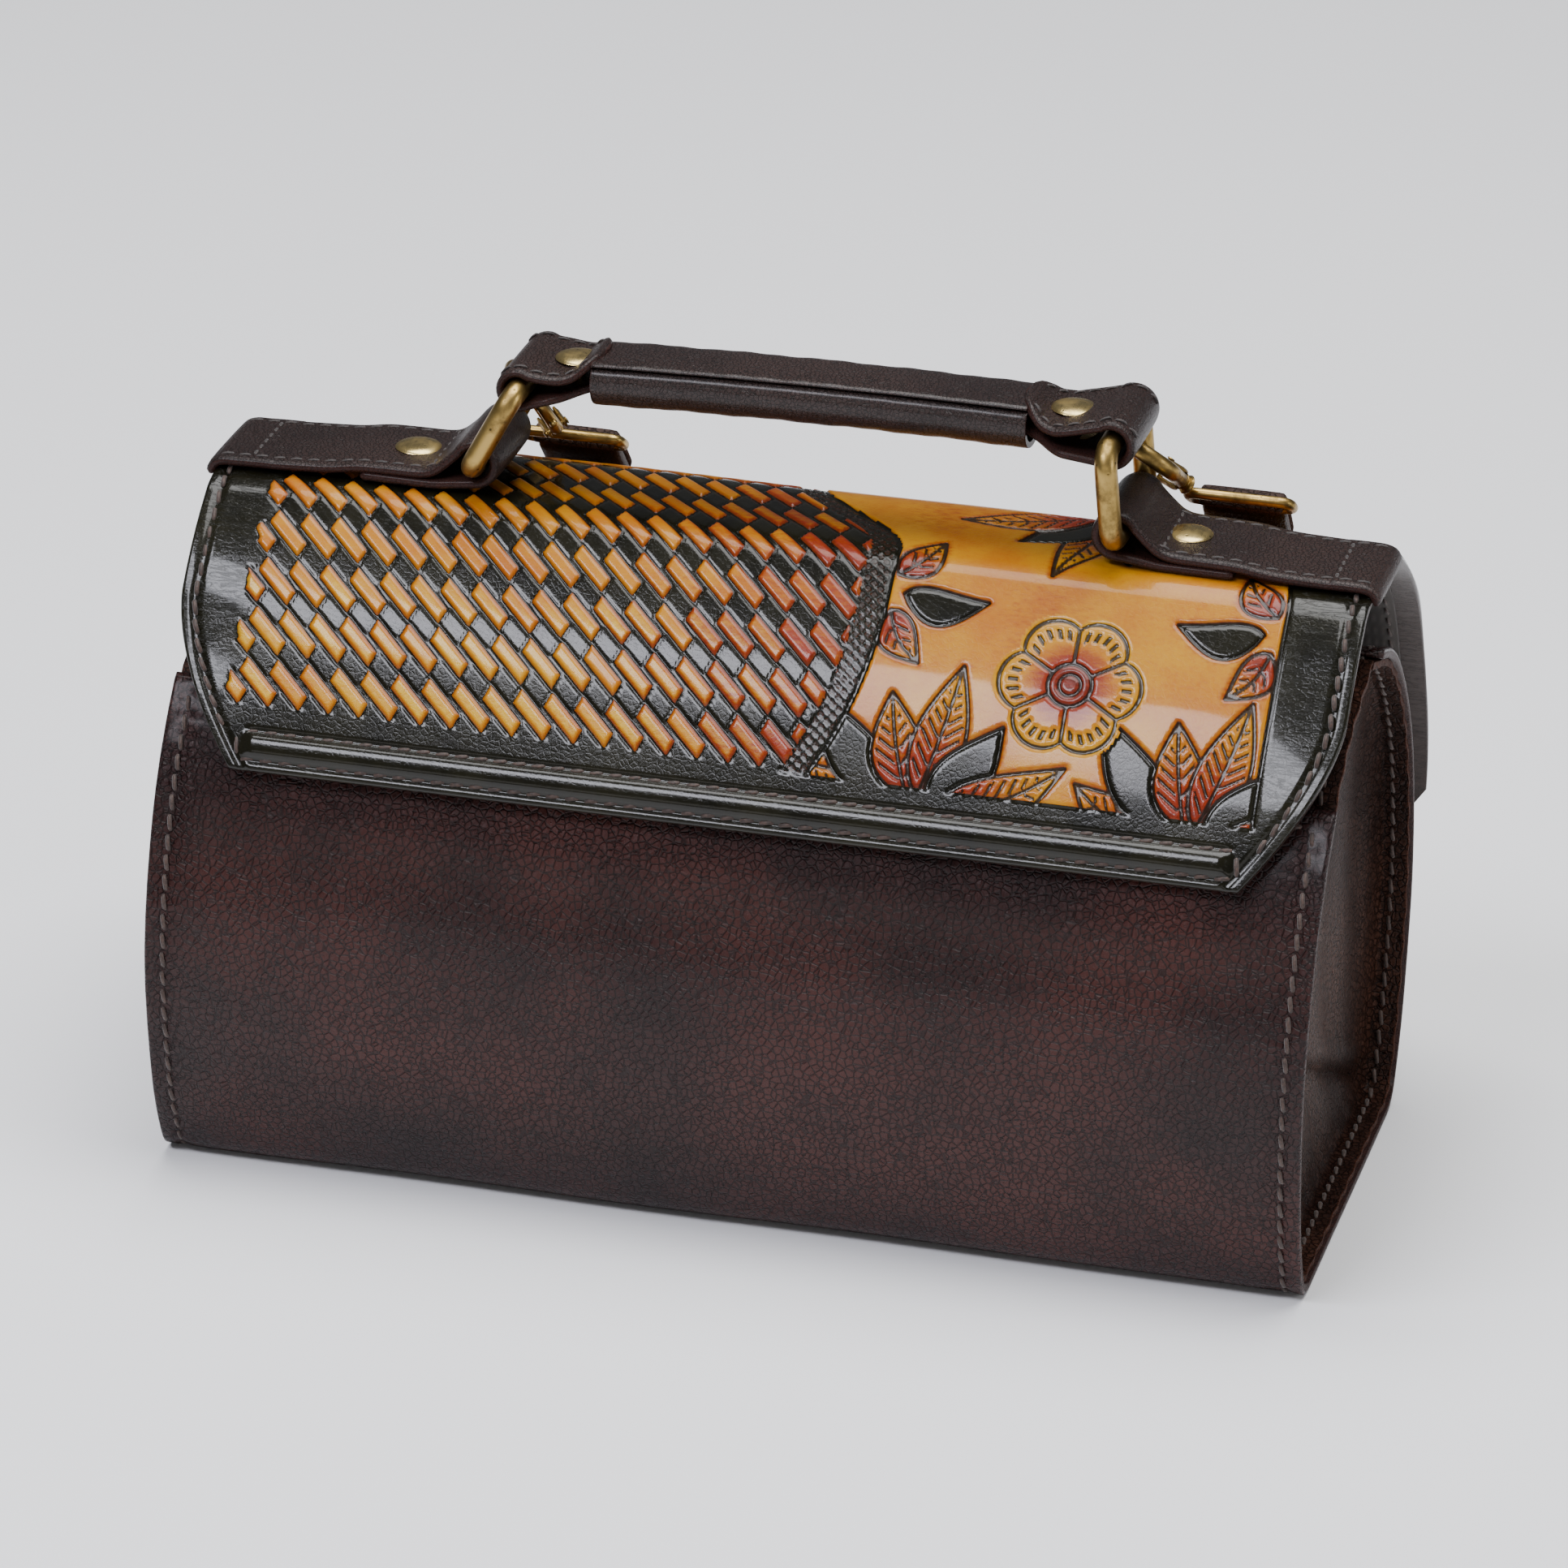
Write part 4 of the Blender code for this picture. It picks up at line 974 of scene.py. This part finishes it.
def body():
    """The wrap with its thread, its lining, and the board on the base."""
    fine = 1.5
    line = spaced(part_of(barrel_line(), -36, 10), fine)
    columns = round(2 * HALF_LENGTH / fine)
    outer = np.r_[-1, -0.9975, np.linspace(-0.993, 0.993, columns), 0.9975, 1]
    wrap = panel("leather_wrap", line, 0.0, np.full(len(line), HALF_LENGTH - 0.15), outer,
                 np.linspace(-1, 1, 14), 2.0, BODY_LEATHER, "body_leather", "bag", lift=wrap_lift)
    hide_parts("body_wrap")
    normals = at_x(0, outward(line))
    seam = slice(3, -3)
    runs = []
    for sign in (-1, 1):
        points = at_x(sign * (HALF_LENGTH - SEAM_INSET), line) - normals * 0.45
        runs.append((points[seam], normals[seam]))
    x = np.linspace(-HALF_LENGTH + 6, HALF_LENGTH - 6, 120)
    for index in (3, -4):
        facing = np.tile(normals[index], (len(x), 1))
        runs.append((at_x(x, np.tile(line[index], (len(x), 1))) - facing * 0.1, facing))
    stitches("wrap_stitches", runs, "bag", pitch=4.3, radius=0.44)

    low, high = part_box("body_lining")
    inner = (line - outward(line) * 2.35)[4:-4][::2]
    reach = np.full(len(inner), min(-low.x, high.x) / MM - 0.2)

    def crumple(x, s):
        return 0.22 * np.sin(x * 0.09 + s * 0.05) * np.sin(s * 0.08 + 1.0) - 0.22

    across = np.linspace(-1, 1, 60)
    lining = panel("woven_lining", inner, 0.0, reach, across, across, 0.7, LINING, "lining", "bag",
                   lift=crumple, under=lambda x, s: -crumple(x, s))
    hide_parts("body_lining")

    low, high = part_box("base_board")
    y = np.linspace(low.y, high.y, 16) / MM
    bottom = np.stack([y, np.full_like(y, low.z / MM)], axis=1)
    across = np.linspace(-1, 1, 30)
    board = panel("covered_board", bottom, 0.0, np.full(len(y), high.x / MM - 0.2), across, across,
                  (high.z - low.z) / MM, BOARD, "board", "bag")
    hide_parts("base_board")


def shell_of(name, middle, thick, material, slot, body):
    """A shell of even thickness round a grid of rings; the first ring is its rim, the last is closed over."""
    around = unit(np.roll(middle, -1, axis=1) - np.roll(middle, 1, axis=1))
    normals = unit(np.cross(around, np.gradient(middle, axis=0)))
    a, b = middle + normals * thick / 2, middle - normals * thick / 2
    rows, count = middle.shape[:2]
    rim = middle[0] + (middle[0] - middle[1]) * 0.12
    points = np.vstack([a[::-1].reshape(-1, 3), rim, b.reshape(-1, 3)])
    raw = np.zeros((2 * rows + 1, count))
    raw[rows] = 1
    raw[rows - 1] = raw[rows + 1] = 0.8
    return piece(name, points, ring_faces(2 * rows + 1, count), material, slot, body, 60, raw=raw.ravel())


GUSSET_THICK = 1.5
GUSSET_CENTRE = (0, 62)
# The end panel from its rim inwards: (depth, share of the rim's size).
GUSSET_PROFILE = [(0.75, 1.0), (3.2, 1.0), (5.6, 0.999), (6.6, 0.992), (7.4, 0.97), (8.3, 0.93), (9.2, 0.86),
                  (10.1, 0.78), (10.9, 0.66), (11.5, 0.5), (11.9, 0.34), (12.0, 0.18), (12.0, 0.04)]
# The hard fold across an end panel: a point on it, and its slope as a cosine and a sine.
FOLD_SPOT = (-20, 38)
FOLD_WAY = (0.908, 0.419)


def gusset(side):
    """An end panel: a stitched rim turned outwards, a recessed dished middle, and one hard fold low down."""
    sign = SIGNS[side]
    ring = spaced(barrel_line(), 1.3)[:-1]
    ring = ring - outward(ring) * (2.0 + 0.3 + GUSSET_THICK / 2)
    rows = []
    for depth, size in smooth_line(GUSSET_PROFILE, 4):
        y, z = (GUSSET_CENTRE + (ring - GUSSET_CENTRE) * size).T
        inside = soft_step(1 - size, 0.0, 0.16)
        dents = 0.45 * np.sin(y * 0.09 + 0.7) * np.sin(z * 0.05) + 0.25 * np.sin(y * 0.3 + z * 0.02)
        from_y, from_z = y - FOLD_SPOT[0], z - FOLD_SPOT[1]
        fold = from_y * FOLD_WAY[1] + from_z * FOLD_WAY[0]
        along = from_y * FOLD_WAY[0] - from_z * FOLD_WAY[1]
        reach = soft_step(along, -28, -6) * soft_step(along, 88, 70)
        valley = np.exp(-np.abs(fold) / 2.2) * 1.9 - 0.9 * np.exp(-((fold - 4.5) / 3) ** 2)
        puckers = 0.16 * np.sin(np.arange(len(y)) * math.tau / 6.6)
        x = depth + inside * (dents + reach * valley) + (1 - inside) * puckers
        rows.append(np.stack([sign * (HALF_LENGTH - x), y, z], axis=1))
    shell = shell_of("end_panel_" + side, np.array(rows), GUSSET_THICK, GUSSET_LEATHER, "gusset_leather",
                     "bag")
    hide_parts("gusset_" + side)

    seam_x = sign * (HALF_LENGTH - SEAM_INSET)
    facing = outward(ring)
    normals = at_x(0, facing)
    inner, outer = at_x(seam_x, ring - facing * 0.75), at_x(seam_x, ring + facing * 0.85)
    stitches("end_panel_stitches_" + side, [(inner, -normals)], "bag", pitch=4.3, radius=0.4)
    top = np.flatnonzero((ring[:, 1] > 105) & (ring[:, 0] > -36) & (ring[:, 0] < 10))
    late = top >= len(ring) // 2
    order = np.r_[top[late], top[~late]]
    stitches("end_panel_rim_stitches_" + side, [(outer[order], normals[order])], "bag", pitch=4.3, radius=0.4)


def cover_linings():
    """The cloth under the cover, a little inside its edges and in one piece over the fold; the stiffener."""
    where = np.linspace(FOLD_AT * 0.14, FOLD_AT + FLAP_LENGTH * 0.87, 120)
    line = COVER_CURVE - outward(COVER_CURVE) * 2.25
    line = np.stack([np.interp(where, COVER_RUN, line[:, k]) for k in (0, 1)], axis=1)
    reach = cover_reach_at(where - FOLD_AT) - 5

    def soft(x, s):
        return 0.12 * np.sin(x * 0.12 + s * 0.04) - 0.12

    made = panel("cover_lining_cloth", line, where[0] - FOLD_AT, reach, np.linspace(-1, 1, 40),
                 np.linspace(-1, 1, 60), 0.8, LINING, "lining", lift=soft, under=lambda x, s: -soft(x, s))
    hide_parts("cover_lining", "flap_lining")
    over_the_fold(made)
    face = at_x(0, -outward(line))
    runs = [(at_x(sign * (reach - 1.6), line) + face * 0.9, face) for sign in (-1, 1)]
    over_the_fold(stitches("cover_lining_stitches", runs, radius=0.35))

    low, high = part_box("flap_stiffener")
    strip = np.linspace((high.y / MM, high.z / MM), (low.y / MM, low.z / MM), 6)
    across = np.linspace(-1, 1, 24)
    made = panel("flap_edge_stiffener", strip, 0.0, np.full(6, high.x / MM - 0.3), across, across, 0.7, BOARD,
                 "board", "flap")
    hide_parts("flap_stiffener")


DISC = [(0.05, -0.6), (1.2, -0.6), (1.3, -0.45), (5.2, -0.45), (5.4, -0.6), (5.8, -0.58), (5.98, -0.4),
        (6.0, 0.0), (5.98, 0.4), (5.8, 0.58), (3.0, 0.6), (0.05, 0.6)]


def magnet(node, body, axis):
    low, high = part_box(node)
    middle = (np.array(low) + np.array(high)) / 2 / MM
    made = turned("magnet_disc_" + node, DISC, middle, axis, STEEL, "magnet", body)
    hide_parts(node)


# Straps, rings, rivets and handle ------------------------------------------------------------------------

CAP = [(0.04, 1.2), (1.2, 1.17), (2.4, 1.08), (3.4, 0.92), (4.2, 0.7), (4.75, 0.42), (5.0, 0.12),
       (4.95, -0.02), (4.6, -0.05), (1.5, -0.05)]


def rivet(node, body):
    """A double-cap rivet in place of a CAD one."""
    low, high = (np.array(corner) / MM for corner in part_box(node))
    half = (high[2] - low[2]) / 2
    profile = [(r, half - 1.2 + h) for r, h in CAP] + [(r, -(half - 1.2 + h)) for r, h in reversed(CAP)]
    made = turned("cap_" + node, profile, (low + high) / 2, (0, 0, 1), CAP_BRASS, "brass", body)
    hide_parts(node)


def ring_line(side):
    foot, lean = RINGS[side]
    lean = math.radians(lean)
    out = np.array((math.sin(lean), 0, math.cos(lean)))
    straight = RING_HALF_WIDTH - RING_CORNER
    points = []
    for across, height, first in ((straight, RING_CORNER, -90), (straight, RING_PITCH - RING_CORNER, 0),
                                  (-straight, RING_PITCH - RING_CORNER, 90), (-straight, RING_CORNER, 180)):
        for turn in np.radians(np.linspace(first, first + 90, 9)):
            points.append(np.array((foot, STRAP_Y + across + RING_CORNER * math.cos(turn), RING_FOOT_Z))
                          + out * (height + RING_CORNER * math.sin(turn)))
    points.append(points[0])
    return spaced(np.array(points), 0.9)[:-1]


def loop_centre(side):
    foot, lean = RINGS[side]
    lean = math.radians(lean)
    return np.array((foot + RING_PITCH * math.sin(lean), RING_FOOT_Z + RING_PITCH * math.cos(lean)))


def handle_height(x):
    left, right = loop_centre("left")[0], loop_centre("right")[0]
    t = (x - left) / (right - left)
    return 168.8 + t * 1.2 + 1.2 * (1 - (2 * t - 1) ** 2)


def arc(centre, radius, first, last, steps):
    """Points round a centre, from one angle to another in degrees."""
    turns = np.radians(np.linspace(first, last, steps))
    return [(centre[0] + radius * np.cos(t), centre[1] + radius * np.sin(t)) for t in turns]


def upright_path(points, steps, pitch):
    """A smooth (X, Z) line as 3D points in the straps' middle plane."""
    return np.insert(spaced(smooth_line(points, steps), pitch), 1, STRAP_Y, axis=1)


def base_strap(side):
    """A strap folded round the ring's foot bar, sewn to itself and to the ridge, its end turned down."""
    foot, _ = RINGS[side]
    sign = SIGNS[side]
    out = HALF_LENGTH - 0.4 - sign * foot
    lower = [(25, 144.4), (20, 144.4), (14, 144.4), (9, 144.45), (4.5, 145.0)]
    loop = arc((0, RING_FOOT_Z), 4.4, -98, -335, 13)
    upper = [(6.6, 149.3), (9.2, 147.3), (12.5, 146.5), (20, 146.35), (26, 146.1), (33, 145.1)]
    upper += [(a, 144.5 + 0.1 * math.sin(a * 0.3)) for a in np.linspace(44, out - 4, 10)]
    upper += [(out - 1.6, 144.45), (out + 0.3, 143.9), (out + 1.2, 142.7), (out + 1.4, 141.3)]
    path = upright_path([(foot + sign * a, z) for a, z in lower + loop + upper], 6, 0.7)
    path[:, 1] += 0.25 * np.sin(path[:, 0] * 0.11)
    made = strap("strap_on_ridge_" + side, path, (0, -sign, 0), STRAP_WIDTH, 1.95, STRAP_LEATHER,
                 "strap_leather", "bag", 0.2)
    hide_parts("base_strap_" + side)

    laid_on = (np.arange(len(path)) > 45) & (np.abs(path[:, 0] - foot) > 7.5) & (path[:, 2] > 146)
    top = path[np.flatnonzero(laid_on)[0]:len(path) - 5]
    runs = edge_runs(top, (0, -sign, 0), STRAP_WIDTH, 0.9, 2.3)
    across = np.linspace(STRAP_Y - 10.2, STRAP_Y + 10.2, 24)
    for x, z in ((sign * (HALF_LENGTH - 8.0), 145.5), (foot + sign * 9.5, 148.1)):
        line = np.stack([np.full_like(across, x), across, np.full_like(across, z)], axis=1)
        runs.append((line, np.tile((0.0, 0.0, 1.0), (24, 1))))
    stitches("strap_stitches_" + side, runs, "bag", pitch=3.7, radius=0.36, thread=DARK_THREAD)


TIPS = (-41.4, 48.4)
GRIP_ENDS = (-43.0, 50.0)
# The grip's section: leather rolled round the core, with the lap's edge on its front.
GRIP_SECTION = [(-4.4, 4.5), (0, 4.7), (5, 4.7), (9.2, 4.4), (10.9, 3.4), (11.5, 1.4), (11.2, -1.4),
                (9.9, -3.9), (7.5, -5.7), (4.0, -6.5), (0.8, -6.5), (-2.2, -5.7), (-4.5, -4.0), (-5.8, -1.6),
                (-6.0, 0.6), (-5.5, 2.2), (-4.6, 3.1), (-3.9, 3.3), (-4.6, 3.5), (-5.2, 3.8), (-5.1, 4.2),
                (-4.4, 4.5)]


def handle_tab(tip, way, centre, radius):
    """One end of the handle's strap, from its tip on the grip round the ring's top bar and back under."""
    first, last = (55, 300) if way < 0 else (125, -120)
    over = [(0, 4.7), (1.6, 4.5), (3.4, 3.2), (5.4, 1.7), (7.5, 1.2), (9.6, 1.25)]
    under = [(10.5, -3.3), (7.5, -2.9), (4.5, -2.3), (1.0, -1.6)]
    top, bottom = ([(tip + way * a, handle_height(tip + way * a) + h) for a, h in part]
                   for part in (over, under))
    return top + arc(centre, radius, first, last, 12) + bottom


def handle():
    """The strap with its two tabs and thread, the grip rolled round it, and the core."""
    start = handle_tab(TIPS[0], -1, loop_centre("left"), 3.85)
    middle = [(x, handle_height(x) - 1.1) for x in np.linspace(GRIP_ENDS[0] + 5, GRIP_ENDS[1] - 5, 12)]
    finish = handle_tab(TIPS[1], 1, loop_centre("right"), 4.45)[::-1]
    path = upright_path(start + middle + finish, 8, 0.8)
    x, z = path[:, 0], path[:, 2]
    over = z > handle_height(x) + 0.6
    distance = np.where(x < 0, TIPS[0] - x, x - TIPS[1])
    half, tip_round = STRAP_WIDTH / 2, 12.45
    lobe = half * np.sqrt(np.clip(1 - (np.clip(half - distance, 0, tip_round) / half) ** 2.3, 0.01, 1))
    neck = 6.2 + 6.3 * soft_step(distance, 1.5, 11)
    width = 2 * np.where(over, lobe, neck)
    made = strap("carrying_handle_strap", path, (0, 1, 0), width, 1.75, STRAP_LEATHER, "strap_leather",
                 "handle", 0.15)
    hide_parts("handle_strap")
    runs = []
    for end in (x < 0, x > 0):
        chosen = np.flatnonzero(over & (distance > 1.8) & end)
        runs += edge_runs(path[chosen], (0, 1, 0), width[chosen], 0.95, 2.3)
    stitches("handle_stitches", runs, "handle", pitch=3.6, radius=0.34, thread=DARK_THREAD)

    section = smooth_line(GRIP_SECTION, 4)[:-1]
    centre = section.mean(axis=0)
    rings = []
    for x in np.linspace(*GRIP_ENDS, 90):
        wobble = 1 + 0.012 * math.sin(x * 0.33) + 0.008 * math.sin(x * 0.9 + 1)
        rings.append(at_x(x, centre + (section - centre) * wobble + (0, handle_height(x))))
    for index, way in ((0, 1), (-1, -1)):
        base = rings[index]
        centre = base.mean(axis=0)
        lip = [centre + (base - centre) * size + (way * shift, 0, 0)
               for size, shift in ((0.985, -0.35), (0.8, -0.3), (0.74, 2.2))]
        rings = lip[::-1] + rings if index == 0 else rings + lip
    raw = np.zeros((len(rings), len(section)))
    raw[:3] = raw[-3:] = 1
    made = piece("handle_grip_roll", np.vstack(rings), ring_faces(len(rings), len(section)), GRIP_LEATHER,
                 "strap_leather", "handle", 40, raw=raw.ravel())
    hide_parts("handle_grip")

    low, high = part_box("handle_core")
    x = np.linspace(low.x / MM, high.x / MM, 30)
    core = np.stack([x, np.full_like(x, STRAP_Y), handle_height(x) - 3.6], axis=1)
    made = strap("stiff_handle_core", core, (0, 1, 0), 11.2, 2.3, BOARD, "board", "handle", 0.0)
    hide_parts("handle_core")


# Snap hooks, eyes and shoulder strap ---------------------------------------------------------------------

HOOK_RADIUS = 7.3
# Each hook's direction, and which side of it the gate is on.
HOOK_POINTS = {"left": ((0.20, 0.62, -0.76), -1), "right": ((0.62, 0.48, -0.62), 1)}
GATE_PIN = (8.4, 4.38)
COLLAR_END = 14.0
EYE_WIRE = 1.2
BELT_WIDTH = 18.0
BELT_X = {"left": -58.0, "right": 89.0}
# The shoulder strap's ends from the cover to the floor: (x, y, z, how far it has turned on edge).
BELT_FLOOR = {
    "left": [(-58, 77.6, 58, 0), (-58, 79.5, 34, 0), (-58, 82, 16, 0), (-58, 88.5, 5.4, 0),
             (-58, 98, 5.2, 0.2), (-56.5, 112, 8.9, 0.65), (-51, 133, 9.4, 1), (-38, 152, 9.4, 1),
             (-19, 165, 9.4, 1), (-7, 168.6, 9.4, 1)],
    "right": [(89, 77.6, 58, 0), (89, 79.5, 34, 0), (89, 82, 16, 0), (89, 88, 5.6, 0), (88.5, 95, 5.8, 0.25),
              (86, 104, 9.2, 0.7), (78, 112, 9.4, 1), (66, 113.5, 9.4, 1), (52, 109.5, 9.4, 1),
              (40, 106, 9.4, 1)],
}


def hook_frame(side):
    foot, lean = RINGS[side]
    lean = math.radians(lean)
    leg = np.array((math.sin(lean), 0, math.cos(lean)))
    direction, gate_side = HOOK_POINTS[side]
    u = unit(np.array(direction))
    n = unit(leg - leg.dot(u) * u)
    v = np.cross(n, u) * gate_side
    centre = np.array((foot, STRAP_Y + RING_HALF_WIDTH, RING_FOOT_Z)) + leg * 7.6 + u * 1.2 + v * 0.48
    return centre, u, v, n


def hook(side):
    """A snap hook: a band bent round, a knuckle with the gate's pin, the gate, and a swivel collar."""
    centre, u, v, n = hook_frame(side)

    def at(points):
        return np.array([centre + u * a + v * b for a, b in points])

    turns = np.radians(np.linspace(152, 320, 26))
    band = [(HOOK_RADIUS * math.cos(t), HOOK_RADIUS * math.sin(t)) for t in turns]
    band += [(8.7, -2.3), (10.0, -0.9), (11.5, -0.1), (13.1, 0)]
    line = spaced(smooth_line(at(band), 3), 0.6)
    share = np.linspace(0, 1, len(line))
    size = 1.28 + 0.18 * np.sin(np.clip(share * 1.25, 0, 1) * math.pi)
    size[:3] *= (0.55, 0.8, 0.95)
    parts = [tube("band", line, size, BRASS, "brass", sides=18, flat=1.25, across=n)]
    knuckle = [(8.9, -1.0), (9.6, 0.6), (9.3, 2.6), (8.7, 4.4), (8.3, 5.4)]
    for offset in (-1, 1):
        cheek = spaced(smooth_line(at(knuckle) + n * offset * 2.05, 3), 0.6)
        width = np.interp(np.linspace(0, 1, len(cheek)), [0, 0.2, 0.75, 1], [0.7, 1.5, 1.45, 0.7])
        parts.append(tube("cheek", cheek, width, BRASS, "brass", sides=14, flat=0.42, across=n))
    collar = [(0.8, 10.5), (1.75, 10.6), (1.95, 10.9), (1.75, 11.3), (1.45, 11.6), (1.5, 11.8), (2.0, 12.0),
              (2.2, 12.4), (1.9, 12.8), (1.4, 13.2), (0.8, 13.6), (0.3, 13.75)]
    parts.append(turned("collar", collar, centre, u, BRASS, "brass"))
    made = joined("snap_hook_" + side, parts, side + "_hook")
    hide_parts("hook_" + side)

    gate = [GATE_PIN, (6.4, 5.9), (3.2, 7.1), (-0.4, 7.15), (-3.2, 6.5), (-4.3, 6.0)]
    line = spaced(smooth_line(at(gate), 4), 0.5)
    width = np.interp(np.linspace(0, 1, len(line)), [0, 0.1, 0.5, 0.9, 1], [1.0, 1.5, 1.3, 1.15, 0.7])
    lever = tube("lever", line, width, BRASS, "brass", sides=14, flat=1.05, across=n)
    knob = [(0.05, 0.0), (0.7, 0.15), (0.95, 0.7), (0.85, 1.3), (0.5, 1.6), (0.05, 1.7)]
    thumb = turned("thumb", knob, at([(1.5, 7.9)])[0], v, BRASS, "brass")
    made = joined("hook_lever_" + side, [lever, thumb], side + "_gate")
    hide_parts("hook_gate_" + side)

    half = [(0.05, 3.0), (0.75, 2.95), (0.95, 2.7), (0.62, 2.5)]
    pin = [(r, -h) for r, h in half] + [(0.6, 0)] + half[::-1]
    made = turned("hinge_pin_" + side, pin, at([GATE_PIN])[0], n, BRASS, "brass", side + "_hook", 20)
    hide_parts("gate_pin_" + side)


def eye_corners(side):
    """The wire loop's corners, hook end first, and the direction in which it hangs."""
    centre, u, _, _ = hook_frame(side)
    start = centre + u * (COLLAR_END + 2 * EYE_WIRE)
    slope = math.radians(32)
    down = np.array((0, math.cos(slope), -math.sin(slope)))
    top = [np.array((BELT_X[side] + across, start[1], start[2])) for across in (-11, 11)]
    return top + [top[1] + down * 6.5, top[0] + down * 6.5], down


def eye(side):
    corners, _ = eye_corners(side)
    points = []
    for k, corner in enumerate(corners):
        before, after = corners[k - 1], corners[(k + 1) % 4]
        a, b = unit(before - corner), unit(after - corner)
        points += [corner + a * 1.6, corner + (a + b) * 0.42, corner + b * 1.6]
    points.append(points[0])
    line = spaced(np.array(points), 0.6)[:-1]
    for _ in range(2):
        line = (np.roll(line, 1, axis=0) + 2 * line + np.roll(line, -1, axis=0)) / 4
    made = tube("strap_loop_" + side, line, EYE_WIRE, BRASS, "brass", "bag", closed=True)
    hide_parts("strap_eye_" + side)


def belt_route(side):
    """The strap's centres and across directions, (x, y, z, wx, wy, wz), from an eye down to the floor."""
    corners, down = eye_corners(side)
    x = BELT_X[side]
    start = corners[2] + down * 1.6
    line = COVER_CURVE + outward(COVER_CURVE) * 3.75
    line = line[(line[:, 0] > start[1] + 11) & (line[:, 1] > 72)][::-1]
    rows = [(x, start[1], start[2], 0)] + [(x, y, z, 0) for y, z in line[::14]] + BELT_FLOOR[side]
    rows = np.array(rows, float)
    turn = rows[:, 3] * math.pi / 2
    wide = np.stack([np.cos(turn), np.zeros(len(rows)), np.sin(turn)], axis=1)
    return np.hstack([rows[:, :3], wide])


def rolled():
    """The roll: two arms side by side that meet in its middle, all on edge."""
    centre = np.array((16.0, 138.0))
    outer, inner, pitch = 34.0, 9.5, 13.0
    sweep = (outer - inner) / pitch * math.tau
    turns = np.arange(0, sweep, math.radians(14))
    arm = [(outer - pitch * t / math.tau, math.pi / 2 - t) for t in turns]
    last = math.pi / 2 - sweep
    arm += [(inner * (1 - k), last + 1.2 * ((1 - k) ** 2 - 1)) for k in np.linspace(0, 1, 9)[:-1]]
    points = np.array([(r * math.cos(t), r * math.sin(t)) for r, t in arm])
    whole = np.vstack([points, [(0, 0)], -points[::-1]]) + centre
    height = np.full((len(whole), 1), 9.4)
    wide = np.tile((0.0, 0.0, 1.0), (len(whole), 1))
    return np.hstack([whole, height, wide])


def shoulder_strap():
    """The strap in one piece from eye to eye, with its thread, end tabs and rivets."""
    route = np.vstack([belt_route("left"), rolled(), belt_route("right")[::-1]])
    route = smooth_line(route, 6)
    run = lengths(route[:, :3])
    where = np.linspace(0, run[-1], round(run[-1] / 1.6))
    route = np.stack([np.interp(where, run, route[:, k]) for k in range(6)], axis=1)
    path, wide = route[:, :3], route[:, 3:]
    path[:, 2] = np.maximum(path[:, 2], 1.6)
    made = strap("shoulder_strap", path, wide, BELT_WIDTH, 2.6, BELT_LEATHER, "strap_leather", "bag", 0.15)
    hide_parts("belt_run_left", "belt_run_right", "belt_roll")
    runs = edge_runs(path[3:-3], wide[3:-3], BELT_WIDTH, 1.25, 2.2)
    seams = [stitches("shoulder_strap_stitches", runs, "bag", pitch=3.8, radius=0.34, thread=DARK_THREAD)]
    for side, order in (("left", 1), ("right", -1)):
        corners, down = eye_corners(side)
        bar = (corners[2] + corners[3]) / 2
        lead = path[::order][:14]
        out = np.array((0, -down[2], down[1]))
        facing = np.cross((1, 0, 0), tangents(lead))
        facing = facing * np.sign(facing @ out)[:, None]
        lap = [lead[k] + facing[k] * 2.35 for k in (12, 9, 6, 3, 1)]
        loop = [bar + out * a - down * b for a, b in ((2.2, 0.6), (1.3, 1.9), (0, 2.35), (-1.4, 1.7))]
        line = spaced(smooth_line(np.array(lap + loop), 6), 0.7)
        share = lengths(line) / lengths(line)[-1]
        rounded = (np.clip(0.3 - share, 0, 0.3) / 0.31) ** 2.2
        width = BELT_WIDTH * np.sqrt(np.clip(1 - rounded, 0.02, 1))
        seams.append(strap("shoulder_strap_tab_" + side, line, (-1, 0, 0), width, 1.8, STRAP_END,
                           "strap_leather", "bag", 0.1))
        spot = lead[7] + facing[7] * 3.25
        profile = [(r * 0.72, h * 0.8) for r, h in CAP]
        seams.append(turned("shoulder_strap_rivet_" + side, profile, spot, facing[7], CAP_BRASS, "brass",
                            "bag", 28))


studio()
cover()
cover_stitches()
cover_linings()
body()
for hand in SIGNS:
    magnet("flap_magnet_" + hand, "flap", (0, 0.824, -0.566))
    magnet("body_magnet_" + hand, "bag", (0, 0.786, -0.618))
for hand in SIGNS:
    gusset(hand)
    base_strap(hand)
    ring = tube("ring_wire_" + hand, ring_line(hand), RING_WIRE, BRASS, "brass", hand + "_ring", closed=True,
                sides=22)
    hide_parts("ring_" + hand)
    rivet("base_rivet_" + hand, "bag")
    rivet("handle_rivet_" + hand, "handle")
    hook(hand)
    eye(hand)
handle()
shoulder_strap()
